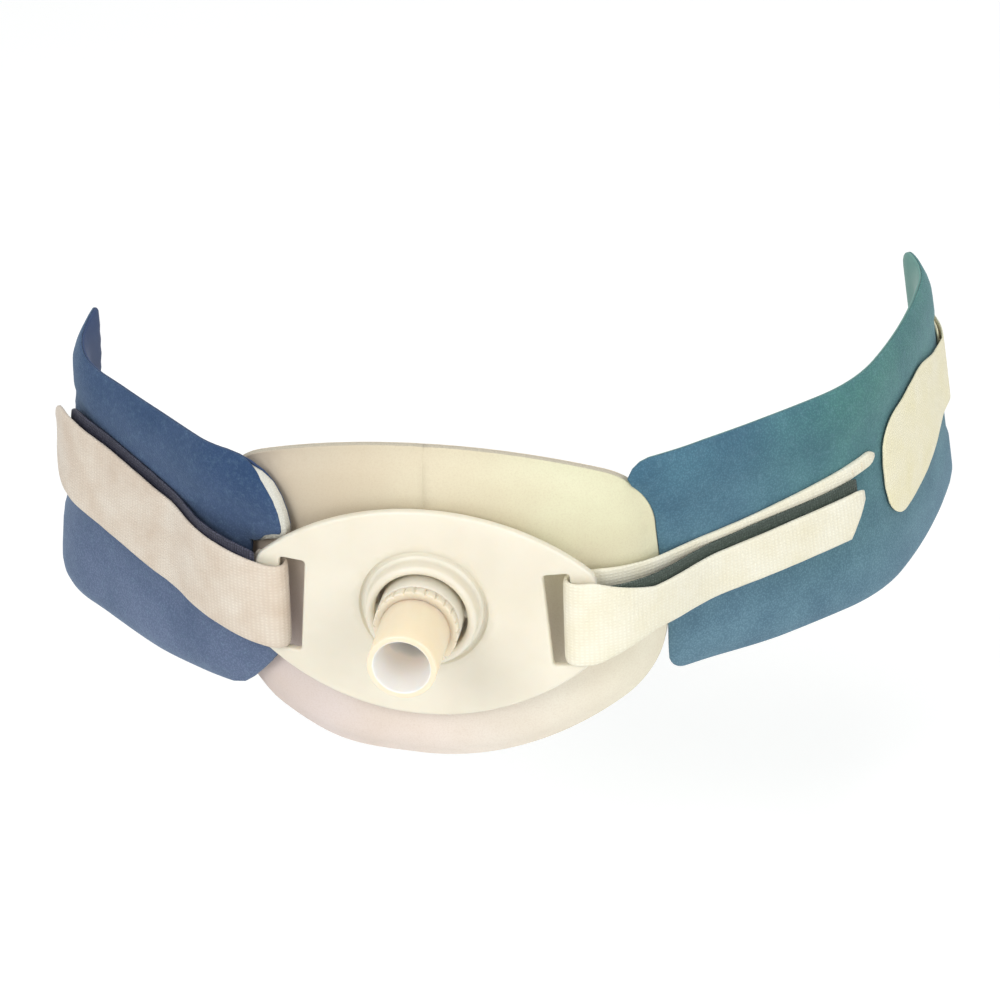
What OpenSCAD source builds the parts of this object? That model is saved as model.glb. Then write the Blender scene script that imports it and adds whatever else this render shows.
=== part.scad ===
// Tracheostomy tube holder: neck flange with its tube, keyhole dressing and padded neck band.
// Origin: on the tube's axis, at the back face of the dressing, where it meets the neck.
// +Y points into the neck, -Y out of it towards the viewer, +Z up.

/* [Dressing] */
// Radius of the neck curve that the dressing follows
neck_r = 100; // [90:1:130]
// Thickness of the dressing at its middle
dress_t = 5; // [4:0.25:7]
// Height of the dressing's top edge above the tube axis
dress_top = 36.4; // [34:0.2:42]
// Depth of the dressing's bottom edge below the tube axis
dress_bottom = 41; // [38:0.5:46]
// Half distance between the centres of the upper corners
upper_x = 31.5; // [28:0.5:34]
// Height of the upper corners' centres
upper_z = 13; // [11:0.5:15]
// Radius of the upper corners
upper_r = 17; // [15:0.5:18]
// Half distance between the centres of the lower corners
lower_x = 29.5; // [27:0.5:31]
// Depth of the lower corners' centres
lower_z = 11; // [9:0.5:13]
// Radius of the lower corners
lower_r = 21; // [19:0.5:22]
// Radius of the hole for the tube
dress_hole_r = 8.6; // [8.4:0.1:9]
// Width of the keyhole slit
slit_w = 0.8; // [0.4:0.1:2]
// Thickness of the cover film and of the contact layer
film_t = 0.5; // [0.3:0.1:0.8]
// Share of the thickness that the crowned edge loses
edge_loss = 0.45; // [0.2:0.05:0.5]

/* [Flange] */
// Radius of the flange plate's back face, seen from above
flange_r = 250; // [220:5:400]
// Gap between the dressing and the back of the plate, at the middle
flange_lift = 2; // [1.8:0.1:3]
// Thickness of the plate
flange_t = 2.2; // [1.8:0.1:2.6]
// Height of the plate's top edge above the tube axis
flange_top = 24; // [22:0.5:26]
// Depth of the plate's bottom edge below the tube axis
flange_bottom = 27; // [25:0.5:29]
// Radius of the top and bottom edges
flange_edge_r = 55; // [52:1:60]
// Half width of the plate
flange_half_w = 38; // [37.5:0.1:40]
// Corner radius at the plate's tips
flange_tip_r = 5; // [3:0.5:6]
// Outer radius of the collar round the hub
collar_r = 12.4; // [12:0.1:13.5]
// Wall of the collar
collar_wall = 2; // [1.6:0.1:2.4]
// Height of the collar in front of the plate
collar_h = 3.8; // [3:0.2:5]
// Width of a strap slot
slot_w = 5.8; // [5.4:0.1:6.4]
// Height of a strap slot
slot_h = 22.8; // [22.4:0.2:24]
// Half distance between the middles of the slots
slot_x = 30.2; // [29.5:0.1:30.6]
// Height of the slots' middles, below the tube axis
slot_z = 1.9; // [1:0.1:3]
// Lean of each slot, its top towards the middle
slot_lean = 4.5; // [0:0.5:6]

/* [Tube] */
// Outer radius of the hub
hub_r = 9.4; // [9:0.1:9.8]
// Length of the hub
hub_len = 8.3; // [7.5:0.1:9]
// Wall of the hub round its front cavity
hub_wall = 1.9; // [1.6:0.1:2]
// Radius of the pivot pins
pin_r = 1.2; // [0.9:0.1:1.4]
// Radial play of the pivot pins in the collar
pin_play = 0.05; // [0.02:0.01:0.1]
// Radius of the tube's bend, along its centre line
bend_r = 50; // [45:1:60]
// Outer radius of the outer cannula
outer_tube_r = 5.5; // [5.2:0.1:5.6]
// Wall of the outer cannula
outer_tube_wall = 0.9; // [0.7:0.05:1]
// Bend angle of the outer cannula
outer_tube_angle = 86; // [70:1:90]
// Outer radius of the inner cannula
inner_tube_r = 4.25; // [4:0.05:4.3]
// Wall of the inner cannula
inner_tube_wall = 0.75; // [0.5:0.05:0.9]
// Bend angle of the inner cannula
inner_tube_angle = 88; // [72:1:92]
// Outer radius of the connector
connector_r = 7.72; // [7.6:0.01:7.85]
// Wall of the connector
connector_wall = 1.5; // [1.2:0.1:1.8]
// Length of the connector in front of the hub
connector_len = 19.2; // [17:0.2:22]
// Depth of the connector's wide mouth
mouth_depth = 14; // [12:0.5:16]
// Length of the plug that sits in the hub's cavity
plug_len = 4; // [3:0.5:4]
// Radius of that plug
plug_r = 6.4; // [6:0.1:6.6]
// Length of the grip ring at the connector's foot
grip_len = 2.6; // [2:0.2:4]
// Depth of the notches round the grip ring
grip_notch_r = 0.45; // [0.3:0.05:0.5]
// Number of notches round the grip ring
grip_notches = 24; // [12:2:30]

/* [Neck band] */
// Thickness of the padded band at its middle
band_t = 3.4; // [3:0.1:4]
// Depth of the left half's bottom edge at its nose, below the tube axis
left_bottom = 28.7; // [27:0.1:30]
// Depth of the right half's bottom edge at its nose, below the tube axis
right_bottom = 24.2; // [23:0.1:26]
// Height of the band's top edge at its noses, above the tube axis
band_top = 30; // [29:0.5:33]
// How much the top and bottom edges come closer to each other, each, towards the rear
rear_draw = 1.3; // [0:0.1:2]
// Lean of the band's rear part, its bottom edge outwards
band_lean = 6; // [0:0.5:7]
// Thickness of the outer loop fabric and of the lining
fabric_t = 0.5; // [0.3:0.05:0.6]
// How far each face draws in at the band's edges
edge_draw = 1; // [0.5:0.05:1.05]
// Distance from the middle at which the left half lies on the dressing
touch_x = 45; // [43:0.5:47]
// Straight length of the left half inside that point
nose_len = 15; // [13:0.5:16]
// Distance from the middle at which the right half starts
right_start_x = 43; // [42.5:0.1:44]
// Direction in which the right half starts, measured from +X
right_heading = 36; // [34:0.5:38]
// How much further the lining reaches than the shell at the left nose
lining_show = 1.2; // [0:0.1:2]

/* [Tabs] */
// Thickness of the webbing tabs
tab_t = 1.2; // [0.9:0.05:1.3]
// Height of the two tabs that pass through the slots
tab_h = 20.4; // [18:0.2:21]
// Thickness of the hook patches
hook_t = 0.9; // [0.6:0.05:1]
// Clear radius inside the loop round the flange's end bar
loop_clear_r = 2.55; // [2.5:0.05:2.7]
// Rise of the left tab per millimetre outwards
left_rise = 0.145; // [0:0.005:0.2]
// Rise of the right tab per millimetre outwards
right_rise = 0.045; // [0:0.005:0.1]
// Height of the folded end of the right tab
fold_h = 10.6; // [10:0.2:13]
// How much higher than the sewn end the folded end's lower edge lies
fold_lift = 4.5; // [3:0.1:6]
// How far the hook patch shows above the left tab
hook_peek = 2; // [1:0.1:3]
// Height of the strip of webbing that shows above the right hook patch
base_show = 1.6; // [1:0.1:3]
// Where the left tab's sewn end lies along the band
left_base_end = 22; // [20:1:26]
// Where the left tab's loose end lies along the band
left_tab_end = 84; // [70:1:86]
// Where the right tab's sewn end lies along the band
right_base_end = 70; // [66:1:72]
// Where the right tab's folded end lies along the band
right_fold_end = 63; // [54:1:65]
// Height of the rear closing tab at its loose end
rear_tab_h = 25; // [22:0.5:28]
// Height of the rear closing tab where it folds over its anchor
rear_neck_h = 16; // [12:0.5:20]
// Where the rear closing tab's loose end lies along the band
rear_tab_end = 73; // [72:1:90]
// Thickness of the rear closing tab
rear_tab_t = 0.8; // [0.6:0.05:1]
// Thickness of the rear closing tab's hook patch
rear_hook_t = 0.6; // [0.5:0.05:0.8]
// Radius of the sewing thread
thread_r = 0.2; // [0.15:0.01:0.25]
// Length of a stitch
stitch_len = 1.8; // [1.2:0.1:2.4]
// Distance from one stitch to the next
stitch_step = 2.7; // [2.4:0.1:4]

/* [Clearances] */
// Gap between parts that move past each other
move_gap = 0.3; // [0.3:0.05:0.4]
// Gap between layers that are bonded or pressed together
layer_gap = 0.05; // [0.03:0.01:0.1]
// Gap between the left half's nose and the flange or the tab beside it
nose_gap = 0.9; // [0.8:0.1:1.5]
// Gap between the right half's nose and the dressing's edge beside it
side_gap = 0.6; // [0.6:0.1:1.2]

/* [Hidden] */
$fn = 64;

LEFT = 1;
RIGHT = -1;
ivory = [0.95, 0.93, 0.86];
cream = [0.93, 0.88, 0.78];
blue = [0.30, 0.42, 0.58];
clear_pink = [0.86, 0.74, 0.68];

// ---- tube axis stations, from back to front
collar_back_y = -dress_t - move_gap;
plate_back_y = -dress_t - flange_lift;
plate_front_y = plate_back_y - flange_t;
collar_front_y = plate_front_y - collar_h;
collar_bore_r = collar_r - collar_wall;
// the tilting hub stays clear of the dressing by the sink of its rear rim
hub_back_y = plate_back_y - 0.2;
hub_front_y = hub_back_y - hub_len;
pin_y = hub_back_y - 2 * pin_r;
cavity_r = hub_r - hub_wall;
cavity_y = hub_back_y - 2;
grip_back_y = hub_front_y - move_gap;
connector_front_y = hub_front_y - connector_len;
// the grip ring sits in a shallow step at the connector's foot
grip_seat_r = connector_r - 0.4;
grip_front_y = grip_back_y - grip_len;

// ---- flange outline
tip_x = flange_half_w - flange_tip_r;
tip_drop = sqrt(pow(flange_edge_r - flange_tip_r, 2) - tip_x * tip_x);
top_arc_z = flange_top - flange_edge_r;
bottom_arc_z = flange_edge_r - flange_bottom;
tip_top_z = top_arc_z + tip_drop;
tip_bottom_z = bottom_arc_z - tip_drop;
tip_angle = atan2(tip_drop, tip_x);
flange_cy = plate_back_y + flange_r;

// ---- strap loops round the end bars
bar_x = (slot_x + slot_w / 2 + flange_half_w) / 2;
bar_r = flange_r + flange_t / 2;
bar_y = flange_cy - sqrt(bar_r * bar_r - bar_x * bar_x);
bar_turn = asin(bar_x / bar_r);
loop_shift = 1.2;
loop_r = loop_clear_r + tab_t / 2;

// ---- band courses: start, heading and [length, turn] steps along the outer face
rest_r = neck_r + dress_t + move_gap;
touch_turn = asin(touch_x / rest_r);
left_start = [-(touch_x + band_t * sin(touch_turn)) + nose_len * cos(touch_turn),
              neck_r - (rest_r + band_t) * cos(touch_turn) - nose_len * sin(touch_turn),
              180 - touch_turn];
left_steps = [[nose_len, 0], [10, -15], [40, -5.5], [25, -40], [12.5, -8.5]];
right_start = [right_start_x,
               neck_r - sqrt(pow(neck_r + dress_t, 2) - right_start_x * right_start_x) + 0.4,
               right_heading];
right_steps = [[4, 0], [8, 5], [45.5, 7], [22, 27], [39.5, 13.5], [20.5, 39.5]];
left_len = total(left_steps);
right_len = total(right_steps);
left_corner_r = 1.5;
right_corner_r = 4;
nose_corner_r = 13;
left_nose_s = -1.5;
// the left half has its full height where the tab's back strand has reached its face
left_full_x = flange_half_w + 2.7;

// ---- offsets of the tab layers from the band's outer face, to their middles
base_off = layer_gap + tab_t / 2;
left_hook_off = layer_gap + hook_t / 2;
left_fold_off = left_hook_off + (hook_t + tab_t) / 2 + layer_gap;
right_hook_off = base_off + (hook_t + tab_t) / 2 + layer_gap;
right_fold_off = right_hook_off + (hook_t + tab_t) / 2 + layer_gap;
rear_hook_off = move_gap + rear_hook_t / 2;
rear_tab_off = rear_hook_off + (rear_hook_t + rear_tab_t) / 2 + layer_gap;
anchor_off = layer_gap + rear_tab_t / 2;
// over its anchor the rear tab lies a little further out
rear_fold_off = anchor_off + rear_tab_t + 1.25 * thread_r + move_gap;
knuckle_r = (rear_fold_off + rear_tab_t / 2 - layer_gap) / 2;
knuckle_off = knuckle_r + layer_gap;
knuckle_s = right_len + 1;

// ---- courses
function total(steps, i = 0) = i == len(steps) ? 0 : steps[i][0] + total(steps, i + 1);
// one arc of a course: p is [x, y, heading]
function advance(p, dist, turn) =
    let (chord = abs(turn) < 0.001 ? dist : dist * sin(turn / 2) / (turn / 2 * PI / 180),
         a = p[2] + turn / 2)
    [p[0] + chord * cos(a), p[1] + chord * sin(a), p[2] + turn];
function walk(p, steps, s, i = 0) =
    (i == len(steps) - 1 || s <= steps[i][0])
        ? advance(p, s, steps[i][1] * s / steps[i][0])
        : walk(advance(p, steps[i][0], steps[i][1]), steps, s - steps[i][0], i + 1);
// a station is [x, y, heading, distance along the band]
function side_shift(p, side, off) =
    [p[0] + off * cos(p[2] + 90 * side), p[1] + off * sin(p[2] + 90 * side), p[2], p[3]];
function flip(p) = [p[0], p[1], p[2] + 180, p[3]];
function reversed(list) = [for (i = [len(list) - 1 : -1 : 0]) list[i]];
function band_at(side, s) =
    concat(side == LEFT ? walk(left_start, left_steps, s) : walk(right_start, right_steps, s), [s]);
// the band stands upright at its noses and leans further back
function rearward(s) = let (t = min(1, max(0, (s - 14) / 32))) t * t * (3 - 2 * t);
function lean_at(s) = is_undef(s) ? 0 : tan(band_lean) * rearward(s);
function leaned(side, p, z) = [p[0] + side * lean_at(p[3]) * (z + slot_z), p[1], z];
function band_point(side, s, off, z) = leaned(side, side_shift(band_at(side, s), side, off), z);

// ---- outlines in the flange's and dressing's front view
function arc_points(cx, cz, r, a0, a1, n) =
    [for (i = [0 : n]) let (a = a0 + (a1 - a0) * i / n) [cx + r * cos(a), cz + r * sin(a)]];
function mirrored(list) = [for (p = reversed(list)) [-p[0], p[1]]];
flange_half = concat(
    arc_points(0, top_arc_z, flange_edge_r, 90, tip_angle, 16),
    arc_points(tip_x, tip_top_z, flange_tip_r, tip_angle, 0, 5),
    arc_points(tip_x, tip_bottom_z, flange_tip_r, 0, -tip_angle, 5),
    arc_points(0, bottom_arc_z, flange_edge_r, -tip_angle, -90, 16));

// radius of the arc that passes the height d over a corner circle's centre and touches it
function cap_r(cx, d, r) = (cx * cx + d * d - r * r) / (2 * (d - r));
cap_top_r = cap_r(upper_x, dress_top - upper_z, upper_r);
cap_low_r = cap_r(lower_x, dress_bottom - lower_z, lower_r);
cap_top_a = acos(upper_x / (cap_top_r - upper_r));
cap_low_a = acos(lower_x / (cap_low_r - lower_r));
slit_a = acos(slit_w / 2 / cap_top_r);
dress_half = concat(
    arc_points(0, dress_top - cap_top_r, cap_top_r, slit_a, cap_top_a, 5),
    arc_points(upper_x, upper_z, upper_r, cap_top_a - 12, 0, 4),
    arc_points(lower_x, -lower_z, lower_r, 0, 12 - cap_low_a, 4),
    arc_points(0, cap_low_r - dress_bottom, cap_low_r, -cap_low_a, -90, 6));
dress_outline = concat(dress_half, [for (i = [1 : len(dress_half) - 1]) mirrored(dress_half)[i]]);

// ---- a closed sheet over a grid: front[i][j] and back[i][j], rows i clockwise from the front
function quad(a, b, c, d) = [[a, b, c], [a, c, d]];
module grid_solid(front, back) {
    n = len(front);
    m = len(front[0]);
    function f(i, j) = i * 2 * m + j;
    function b(i, j) = i * 2 * m + m + j;
    faces = concat(
        [for (i = [0 : n - 2], j = [0 : m - 2], t = quad(f(i, j), f(i, j + 1), f(i + 1, j + 1), f(i + 1, j))) t],
        [for (i = [0 : n - 2], j = [0 : m - 2], t = quad(b(i, j), b(i + 1, j), b(i + 1, j + 1), b(i, j + 1))) t],
        [for (i = [0 : n - 2], t = quad(f(i, m - 1), b(i, m - 1), b(i + 1, m - 1), f(i + 1, m - 1))) t],
        [for (i = [0 : n - 2], t = quad(f(i, 0), f(i + 1, 0), b(i + 1, 0), b(i, 0))) t],
        [for (j = [0 : m - 2], t = quad(b(0, j), b(0, j + 1), f(0, j + 1), f(0, j))) t],
        [for (j = [0 : m - 2], t = quad(f(n - 1, j), f(n - 1, j + 1), b(n - 1, j + 1), b(n - 1, j))) t]);
    polyhedron([for (i = [0 : n - 1]) each concat(front[i], back[i])], faces);
}

// ---- dressing: a crowned pad that follows the neck, open from its hole to the top edge
dress_rings = [0, 0.35, 0.65, 0.82, 0.93, 1];
function on_neck(x, off, z) = [x, neck_r - sqrt(pow(neck_r + off, 2) - x * x), z];
function crown_at(f) = dress_t * (1 - edge_loss * pow(f, 8));
function hole_point(p) =
    let (r = norm(p), x = p[0] / r * dress_hole_r,
         xs = p[1] > 0 && abs(x) < slit_w / 2 ? sign(x) * slit_w / 2 : x)
    [xs, sign(p[1]) * sqrt(dress_hole_r * dress_hole_r - xs * xs)];
// low and high give the layer's two faces as [share of the crown, offset]
module dressing_layer(low, high) {
    function face(p, k) =
        [for (f = dress_rings)
            let (h = hole_point(p), q = h + (p - h) * f)
            on_neck(q[0], k[0] * crown_at(f) + k[1], q[1])];
    grid_solid([for (p = dress_outline) face(p, high)], [for (p = dress_outline) face(p, low)]);
}
module dressing_contact_layer() {
    color(cream) dressing_layer([0, 0], [0, film_t]);
}
module dressing_foam_core() {
    color("white") dressing_layer([0, film_t + layer_gap], [1, -film_t - layer_gap]);
}
module dressing_cover_film() {
    color(cream) dressing_layer([1, -film_t], [1, 0]);
}

// ---- flange
module toward_viewer(y) {
    translate([0, y, 0]) rotate([90, 0, 0]) children();
}
module slot_cut(side) {
    translate([side * slot_x, 0, -slot_z]) rotate([0, -side * slot_lean, 0])
        cube([slot_w, 3 * flange_r, slot_h], center = true);
}
module flange_plate() {
    lip = collar_wall / 2;
    color(ivory) difference() {
        union() {
            intersection() {
                translate([0, flange_cy, -flange_bottom - 1]) difference() {
                    cylinder(r = flange_r + flange_t, h = flange_top + flange_bottom + 2, $fn = 256);
                    translate([0, 0, -1])
                        cylinder(r = flange_r, h = flange_top + flange_bottom + 4, $fn = 256);
                }
                toward_viewer(bar_y + 10) linear_extrude(height = 30)
                    polygon(concat(flange_half, mirrored(flange_half)));
            }
            toward_viewer(collar_back_y) cylinder(r = collar_r, h = collar_back_y - collar_front_y - lip);
            toward_viewer(collar_front_y + lip) rotate_extrude()
                translate([collar_r - lip, 0]) circle(r = lip);
        }
        toward_viewer(collar_back_y + 1)
            cylinder(r = collar_bore_r, h = collar_back_y - collar_front_y + 2);
        for (side = [-1, 1]) slot_cut(side);
        translate([-collar_r - 1, pin_y, 0]) rotate([0, 90, 0])
            cylinder(r = pin_r + pin_play, h = 2 * collar_r + 2);
    }
}

// ---- tube
module tube_bend(r, wall, angle) {
    translate([0, hub_back_y, -bend_r]) rotate([0, -90, 0]) rotate_extrude(angle = angle)
        translate([bend_r, 0]) difference() {
            circle(r = r);
            circle(r = r - wall);
        }
}
module hub_body() {
    color(ivory) difference() {
        toward_viewer(hub_back_y) cylinder(r = hub_r, h = hub_len);
        toward_viewer(cavity_y) cylinder(r = cavity_r, h = hub_len);
        toward_viewer(hub_back_y + 1) cylinder(r = outer_tube_r, h = hub_len);
        for (side = [-1, 1]) pivot_pin(side);
    }
}
module pivot_pin(side) {
    inner = cavity_r + 0.4;
    translate([side * inner, pin_y, 0]) rotate([0, side * 90, 0])
        cylinder(r = pin_r, h = collar_r - 0.2 - inner);
}
module pivot_pins() {
    color(ivory) for (side = [-1, 1]) pivot_pin(side);
}
module outer_cannula() {
    color(ivory) union() {
        tube_bend(outer_tube_r, outer_tube_wall, outer_tube_angle);
        toward_viewer(hub_back_y) difference() {
            cylinder(r = outer_tube_r, h = hub_back_y - cavity_y);
            translate([0, 0, -1]) cylinder(r = outer_tube_r - outer_tube_wall, h = hub_len);
        }
    }
}
module inner_cannula() {
    stub = hub_back_y - hub_front_y + 1;
    color(clear_pink) union() {
        tube_bend(inner_tube_r, inner_tube_wall, inner_tube_angle);
        toward_viewer(hub_back_y) difference() {
            cylinder(r = inner_tube_r, h = stub);
            translate([0, 0, -1]) cylinder(r = inner_tube_r - inner_tube_wall, h = stub + 2);
        }
    }
}
module connector_15mm() {
    tip = 0.6;
    bore = connector_r - connector_wall;
    floor_y = connector_front_y + mouth_depth;
    color(clear_pink) difference() {
        union() {
            toward_viewer(hub_front_y + plug_len) cylinder(r = plug_r, h = plug_len + 0.5);
            toward_viewer(grip_back_y) cylinder(r = grip_seat_r, h = grip_len + 1);
            toward_viewer(grip_front_y) cylinder(r = connector_r, h = grip_front_y - connector_front_y - tip);
            toward_viewer(connector_front_y + tip) cylinder(r1 = connector_r, r2 = connector_r - tip / 2, h = tip);
        }
        toward_viewer(hub_front_y + plug_len + 1) cylinder(r = inner_tube_r, h = plug_len + 2);
        toward_viewer(hub_front_y + 1)
            cylinder(r1 = inner_tube_r - inner_tube_wall, r2 = bore, h = hub_front_y + 1 - floor_y);
        toward_viewer(floor_y) cylinder(r = bore, h = mouth_depth + 1);
    }
}
module grip_ring() {
    color(clear_pink) difference() {
        toward_viewer(grip_back_y) cylinder(r = hub_r, h = grip_len);
        toward_viewer(grip_back_y + 1) cylinder(r = grip_seat_r, h = grip_len + 2);
        for (i = [1 : grip_notches]) rotate([0, 360 / grip_notches * i, 0])
            translate([hub_r, 0, 0]) toward_viewer(grip_back_y + 1) cylinder(r = grip_notch_r, h = grip_len + 2);
    }
}

// ---- neck band: layers swept along their course, with crowned faces and rounded ends
across = [-1, -0.94, -0.8, -0.45, 0, 0.45, 0.8, 0.94, 1];
function corner_inset(s, r) = s >= r ? 0 : r - sqrt(r * r - pow(r - max(s, 0), 2));
function face_draw(v, s, length) =
    edge_draw * max(pow(abs(v), 6), pow(max(0, 1 - s / 6), 2), pow(max(0, 1 - (length - s) / 6), 2));

// lower edge of the left half: over the flange's tip and the tab, then down to the full height
function left_low(s) =
    let (x = abs(band_at(LEFT, s)[0]), clear = flange_tip_r + nose_gap, corner = 6,
         over_flange = tip_top_z + sqrt(max(0.01, clear * clear - pow(max(x - tip_x, 0), 2))),
         past = (x - left_full_x) / cos(touch_turn))
    x < left_full_x ? max(over_flange, tab_low(LEFT, x) + tab_h + nose_gap)
                    : -left_bottom + rear_draw * rearward(s) + corner_inset(past, corner)
                      + corner_inset(left_len - s, left_corner_r);
function left_high(s) =
    band_top - rear_draw * rearward(s) - corner_inset(s - left_nose_s, nose_corner_r)
    - corner_inset(left_len - s, left_corner_r);
// lower edge of the right half: round the dressing's upper corner, then down beside its edge
function right_low(s) =
    let (p = band_at(RIGHT, s), x = p[0], clear = upper_r + side_gap,
         xa = upper_x + clear, xb = lower_x + lower_r + side_gap, corner = 5,
         past = (x - xb) / cos(right_heading))
    x < xa ? upper_z + sqrt(max(0.01, clear * clear - pow(x - upper_x, 2)))
    : x < xb ? upper_z - (upper_z + lower_z) * (x - xa) / (xb - xa)
             : -right_bottom + rear_draw * rearward(s) + corner_inset(past, corner)
               + corner_inset(right_len - s, right_corner_r);
function right_high(s) =
    band_top - rear_draw * rearward(s) - corner_inset(s, 5) - corner_inset(right_len - s, right_corner_r);

left_s = concat([left_nose_s, -0.8, 0.5, 2, 3.5, 5, 6.2, 7.4, 8.4, 8.7, 9.2, 10, 11.5, 13.2, nose_len],
                [for (k = [1 : 7]) nose_len + 7 * k],
                [for (k = [1 : 6]) 64 + 5 * k], [left_len - 5, left_len - 2, left_len - 0.6, left_len]);
right_s = concat([0.5, 1.5, 3, 4.5, 6, 7.2, 8, 8.6, 9.1, 9.5, 9.9, 10.3, 10.8, 11.4, 12.2, 13.4, 15.4, 18],
                 [for (k = [1 : 7]) 18 + 8 * k],
                 [for (k = [1 : 10]) 74 + 6 * k],
                 [right_len - 3.5, right_len - 2, right_len - 0.7, right_len]);

// how much further along the band an inner face starts, so that the right nose ends square to the neck
function skew(side, s, off) =
    side == LEFT ? 0 : -off * tan(band_at(RIGHT, s)[2]) * min(1, max(0, (36 - s) / 22));
// one layer of the band: low and high give its faces as [share of the thickness, offset, sign of draw]
module band_layer(side, low, high, grow = 0) {
    length = side == LEFT ? left_len : right_len;
    first = side == LEFT ? left_nose_s : 0;
    function section(s, k) =
        let (z0 = side == LEFT ? left_low(s) : right_low(s),
             z1 = max(side == LEFT ? left_high(s) : right_high(s), z0 + 0.8),
             reach = s - grow * max(0, 1 - (s - first) / nose_len))
        [for (v = across)
            let (off = k[0] * band_t + k[1] + k[2] * face_draw(v, s - first, length - first))
            band_point(side, reach + skew(side, s, off), off, (z0 + z1) / 2 + v * (z1 - z0) / 2)];
    courses = side == LEFT ? reversed(left_s) : right_s;
    outer = [for (s = courses) section(s, high)];
    inner = [for (s = courses) section(s, low)];
    // rows run left to right seen from outside; the grid wants them clockwise
    grid_solid([for (row = outer) reversed(row)], [for (row = inner) reversed(row)]);
}
shell_low = [0, -fabric_t, -1];
shell_high = [0, 0, -1];
foam_low = [-1, fabric_t + layer_gap, 1];
foam_high = [0, -fabric_t - layer_gap, -1];
lining_low = [-1, 0, 1];
lining_high = [-1, fabric_t, 1];
module left_band_shell() {
    color(blue) band_layer(LEFT, shell_low, shell_high);
}
module left_band_foam() {
    color("white") band_layer(LEFT, foam_low, foam_high);
}
module left_band_lining() {
    color(blue) band_layer(LEFT, lining_low, lining_high, lining_show);
}
module right_band_shell() {
    color(blue) band_layer(RIGHT, shell_low, shell_high);
}
module right_band_foam() {
    color("white") band_layer(RIGHT, foam_low, foam_high);
}
module right_band_lining() {
    color(blue) band_layer(RIGHT, lining_low, lining_high);
}

// ---- tabs: straps swept along stations, each with its lower and upper edge
module ribbon(side, stations, thick, edges) {
    function face(i, k) = [for (z = edges[i]) leaned(side, side_shift(stations[i], k, thick / 2), z)];
    grid_solid([for (i = [0 : len(stations) - 1]) face(i, -1)],
               [for (i = [0 : len(stations) - 1]) face(i, 1)]);
}
// band stations at a constant offset
function follow(side, off, s0, s1, n) =
    [for (i = [0 : n]) side_shift(band_at(side, s0 + (s1 - s0) * i / n), side, off)];

// where a loop strand leaves the bar, as [s, offset, slope] along the band's first straight
function bar_out(side) = side == LEFT ? 180 - bar_turn : bar_turn;
function loop_end(side, layer) =
    let (h = bar_out(side), nrm = h + 90 * side)
    [-side * bar_x - loop_shift * cos(h) + layer * loop_r * cos(nrm),
     bar_y - loop_shift * sin(h) + layer * loop_r * sin(nrm), h];
function in_band(side, p) =
    let (b = band_at(side, 0), d = [p[0] - b[0], p[1] - b[1]], nrm = b[2] + 90 * side)
    [d[0] * cos(b[2]) + d[1] * sin(b[2]), d[0] * cos(nrm) + d[1] * sin(nrm),
     tan((p[2] - b[2]) * side)];
function strand(side, layer, off, s1, n = 12) =
    let (e = in_band(side, loop_end(side, layer)), reach = s1 - e[0])
    [for (i = [0 : n])
        let (t = i / n, s = e[0] + reach * t,
             h0 = 2 * pow(t, 3) - 3 * t * t + 1, h1 = pow(t, 3) - 2 * t * t + t,
             o = e[1] * h0 + off * (1 - h0) + e[2] * reach * h1,
             rate = (e[1] - off) * (6 * t * t - 6 * t) / reach + e[2] * (3 * t * t - 4 * t + 1),
             p = side_shift(band_at(side, s), side, o))
        [p[0], p[1], p[2] + side * atan(rate), s]];
function loop_turn(side) =
    let (start = flip(loop_end(side, -1)))
    [for (i = [1 : 11]) advance(start, PI * loop_r * i / 12, -side * 180 * i / 12)];

left_settle = 34;
left_base_settle = 8.5;
right_settle = 24;
tab_mid_z = -slot_z;
function tab_low(side, x) = tab_mid_z - tab_h / 2 + (side == LEFT ? left_rise : right_rise) * (x - bar_x);
function full_edges(side, stations) =
    [for (p = stations) let (z = tab_low(side, abs(p[0]))) [z, z + tab_h]];
// 0 at the flange's tip, 1 from the distance x on
function beyond_tip(p, x) = min(1, max(0, (abs(p[0]) - flange_half_w) / (x - flange_half_w)));

function left_base() = concat(strand(LEFT, -1, base_off, left_base_settle, 8),
                              follow(LEFT, base_off, left_base_settle + 2, left_base_end, 3));
function left_fold() = concat(strand(LEFT, 1, left_fold_off, left_settle, 16),
                              follow(LEFT, left_fold_off, left_settle + 3, left_tab_end - 9, 9),
                              [for (d = [7.5, 6, 4.5, 3, 1.8, 0.8, 0.2, 0])
                                  side_shift(band_at(LEFT, left_tab_end - d), LEFT, left_fold_off)]);
// the sewn end is lower than the front layer, the loose end is rounded
function left_base_edges() = [for (p = left_base()) let (z = tab_low(LEFT, abs(p[0])))
    [z, z + tab_h - 5 * beyond_tip(p, 42)]];
function left_fold_edges() = [for (p = left_fold()) let (z = tab_low(LEFT, abs(p[0])))
    [z + corner_inset(left_tab_end - p[3], 9), z + tab_h - corner_inset(left_tab_end - p[3], 6)]];
module left_tab() {
    base = left_base();
    turn = loop_turn(LEFT);
    color(cream) ribbon(LEFT, concat([for (p = reversed(base)) flip(p)], turn, left_fold()), tab_t,
                        concat(reversed(left_base_edges()), full_edges(LEFT, turn), left_fold_edges()));
}
// a hook patch lies against the inner face of the tab's front layer
hook_from_x = 39.5;
function hook_line(side, stations, s1) =
    [for (p = stations) if (abs(p[0]) > hook_from_x && p[3] <= s1)
        side_shift(p, side, -(hook_t + tab_t) / 2 - layer_gap)];
module left_tab_hook() {
    line = hook_line(LEFT, left_fold(), left_tab_end - 6);
    color([0.12, 0.15, 0.22]) ribbon(LEFT, line, hook_t,
        [for (p = line) let (z = tab_low(LEFT, abs(p[0]))) [z + 1.5, z + tab_h + hook_peek]]);
}

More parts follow.
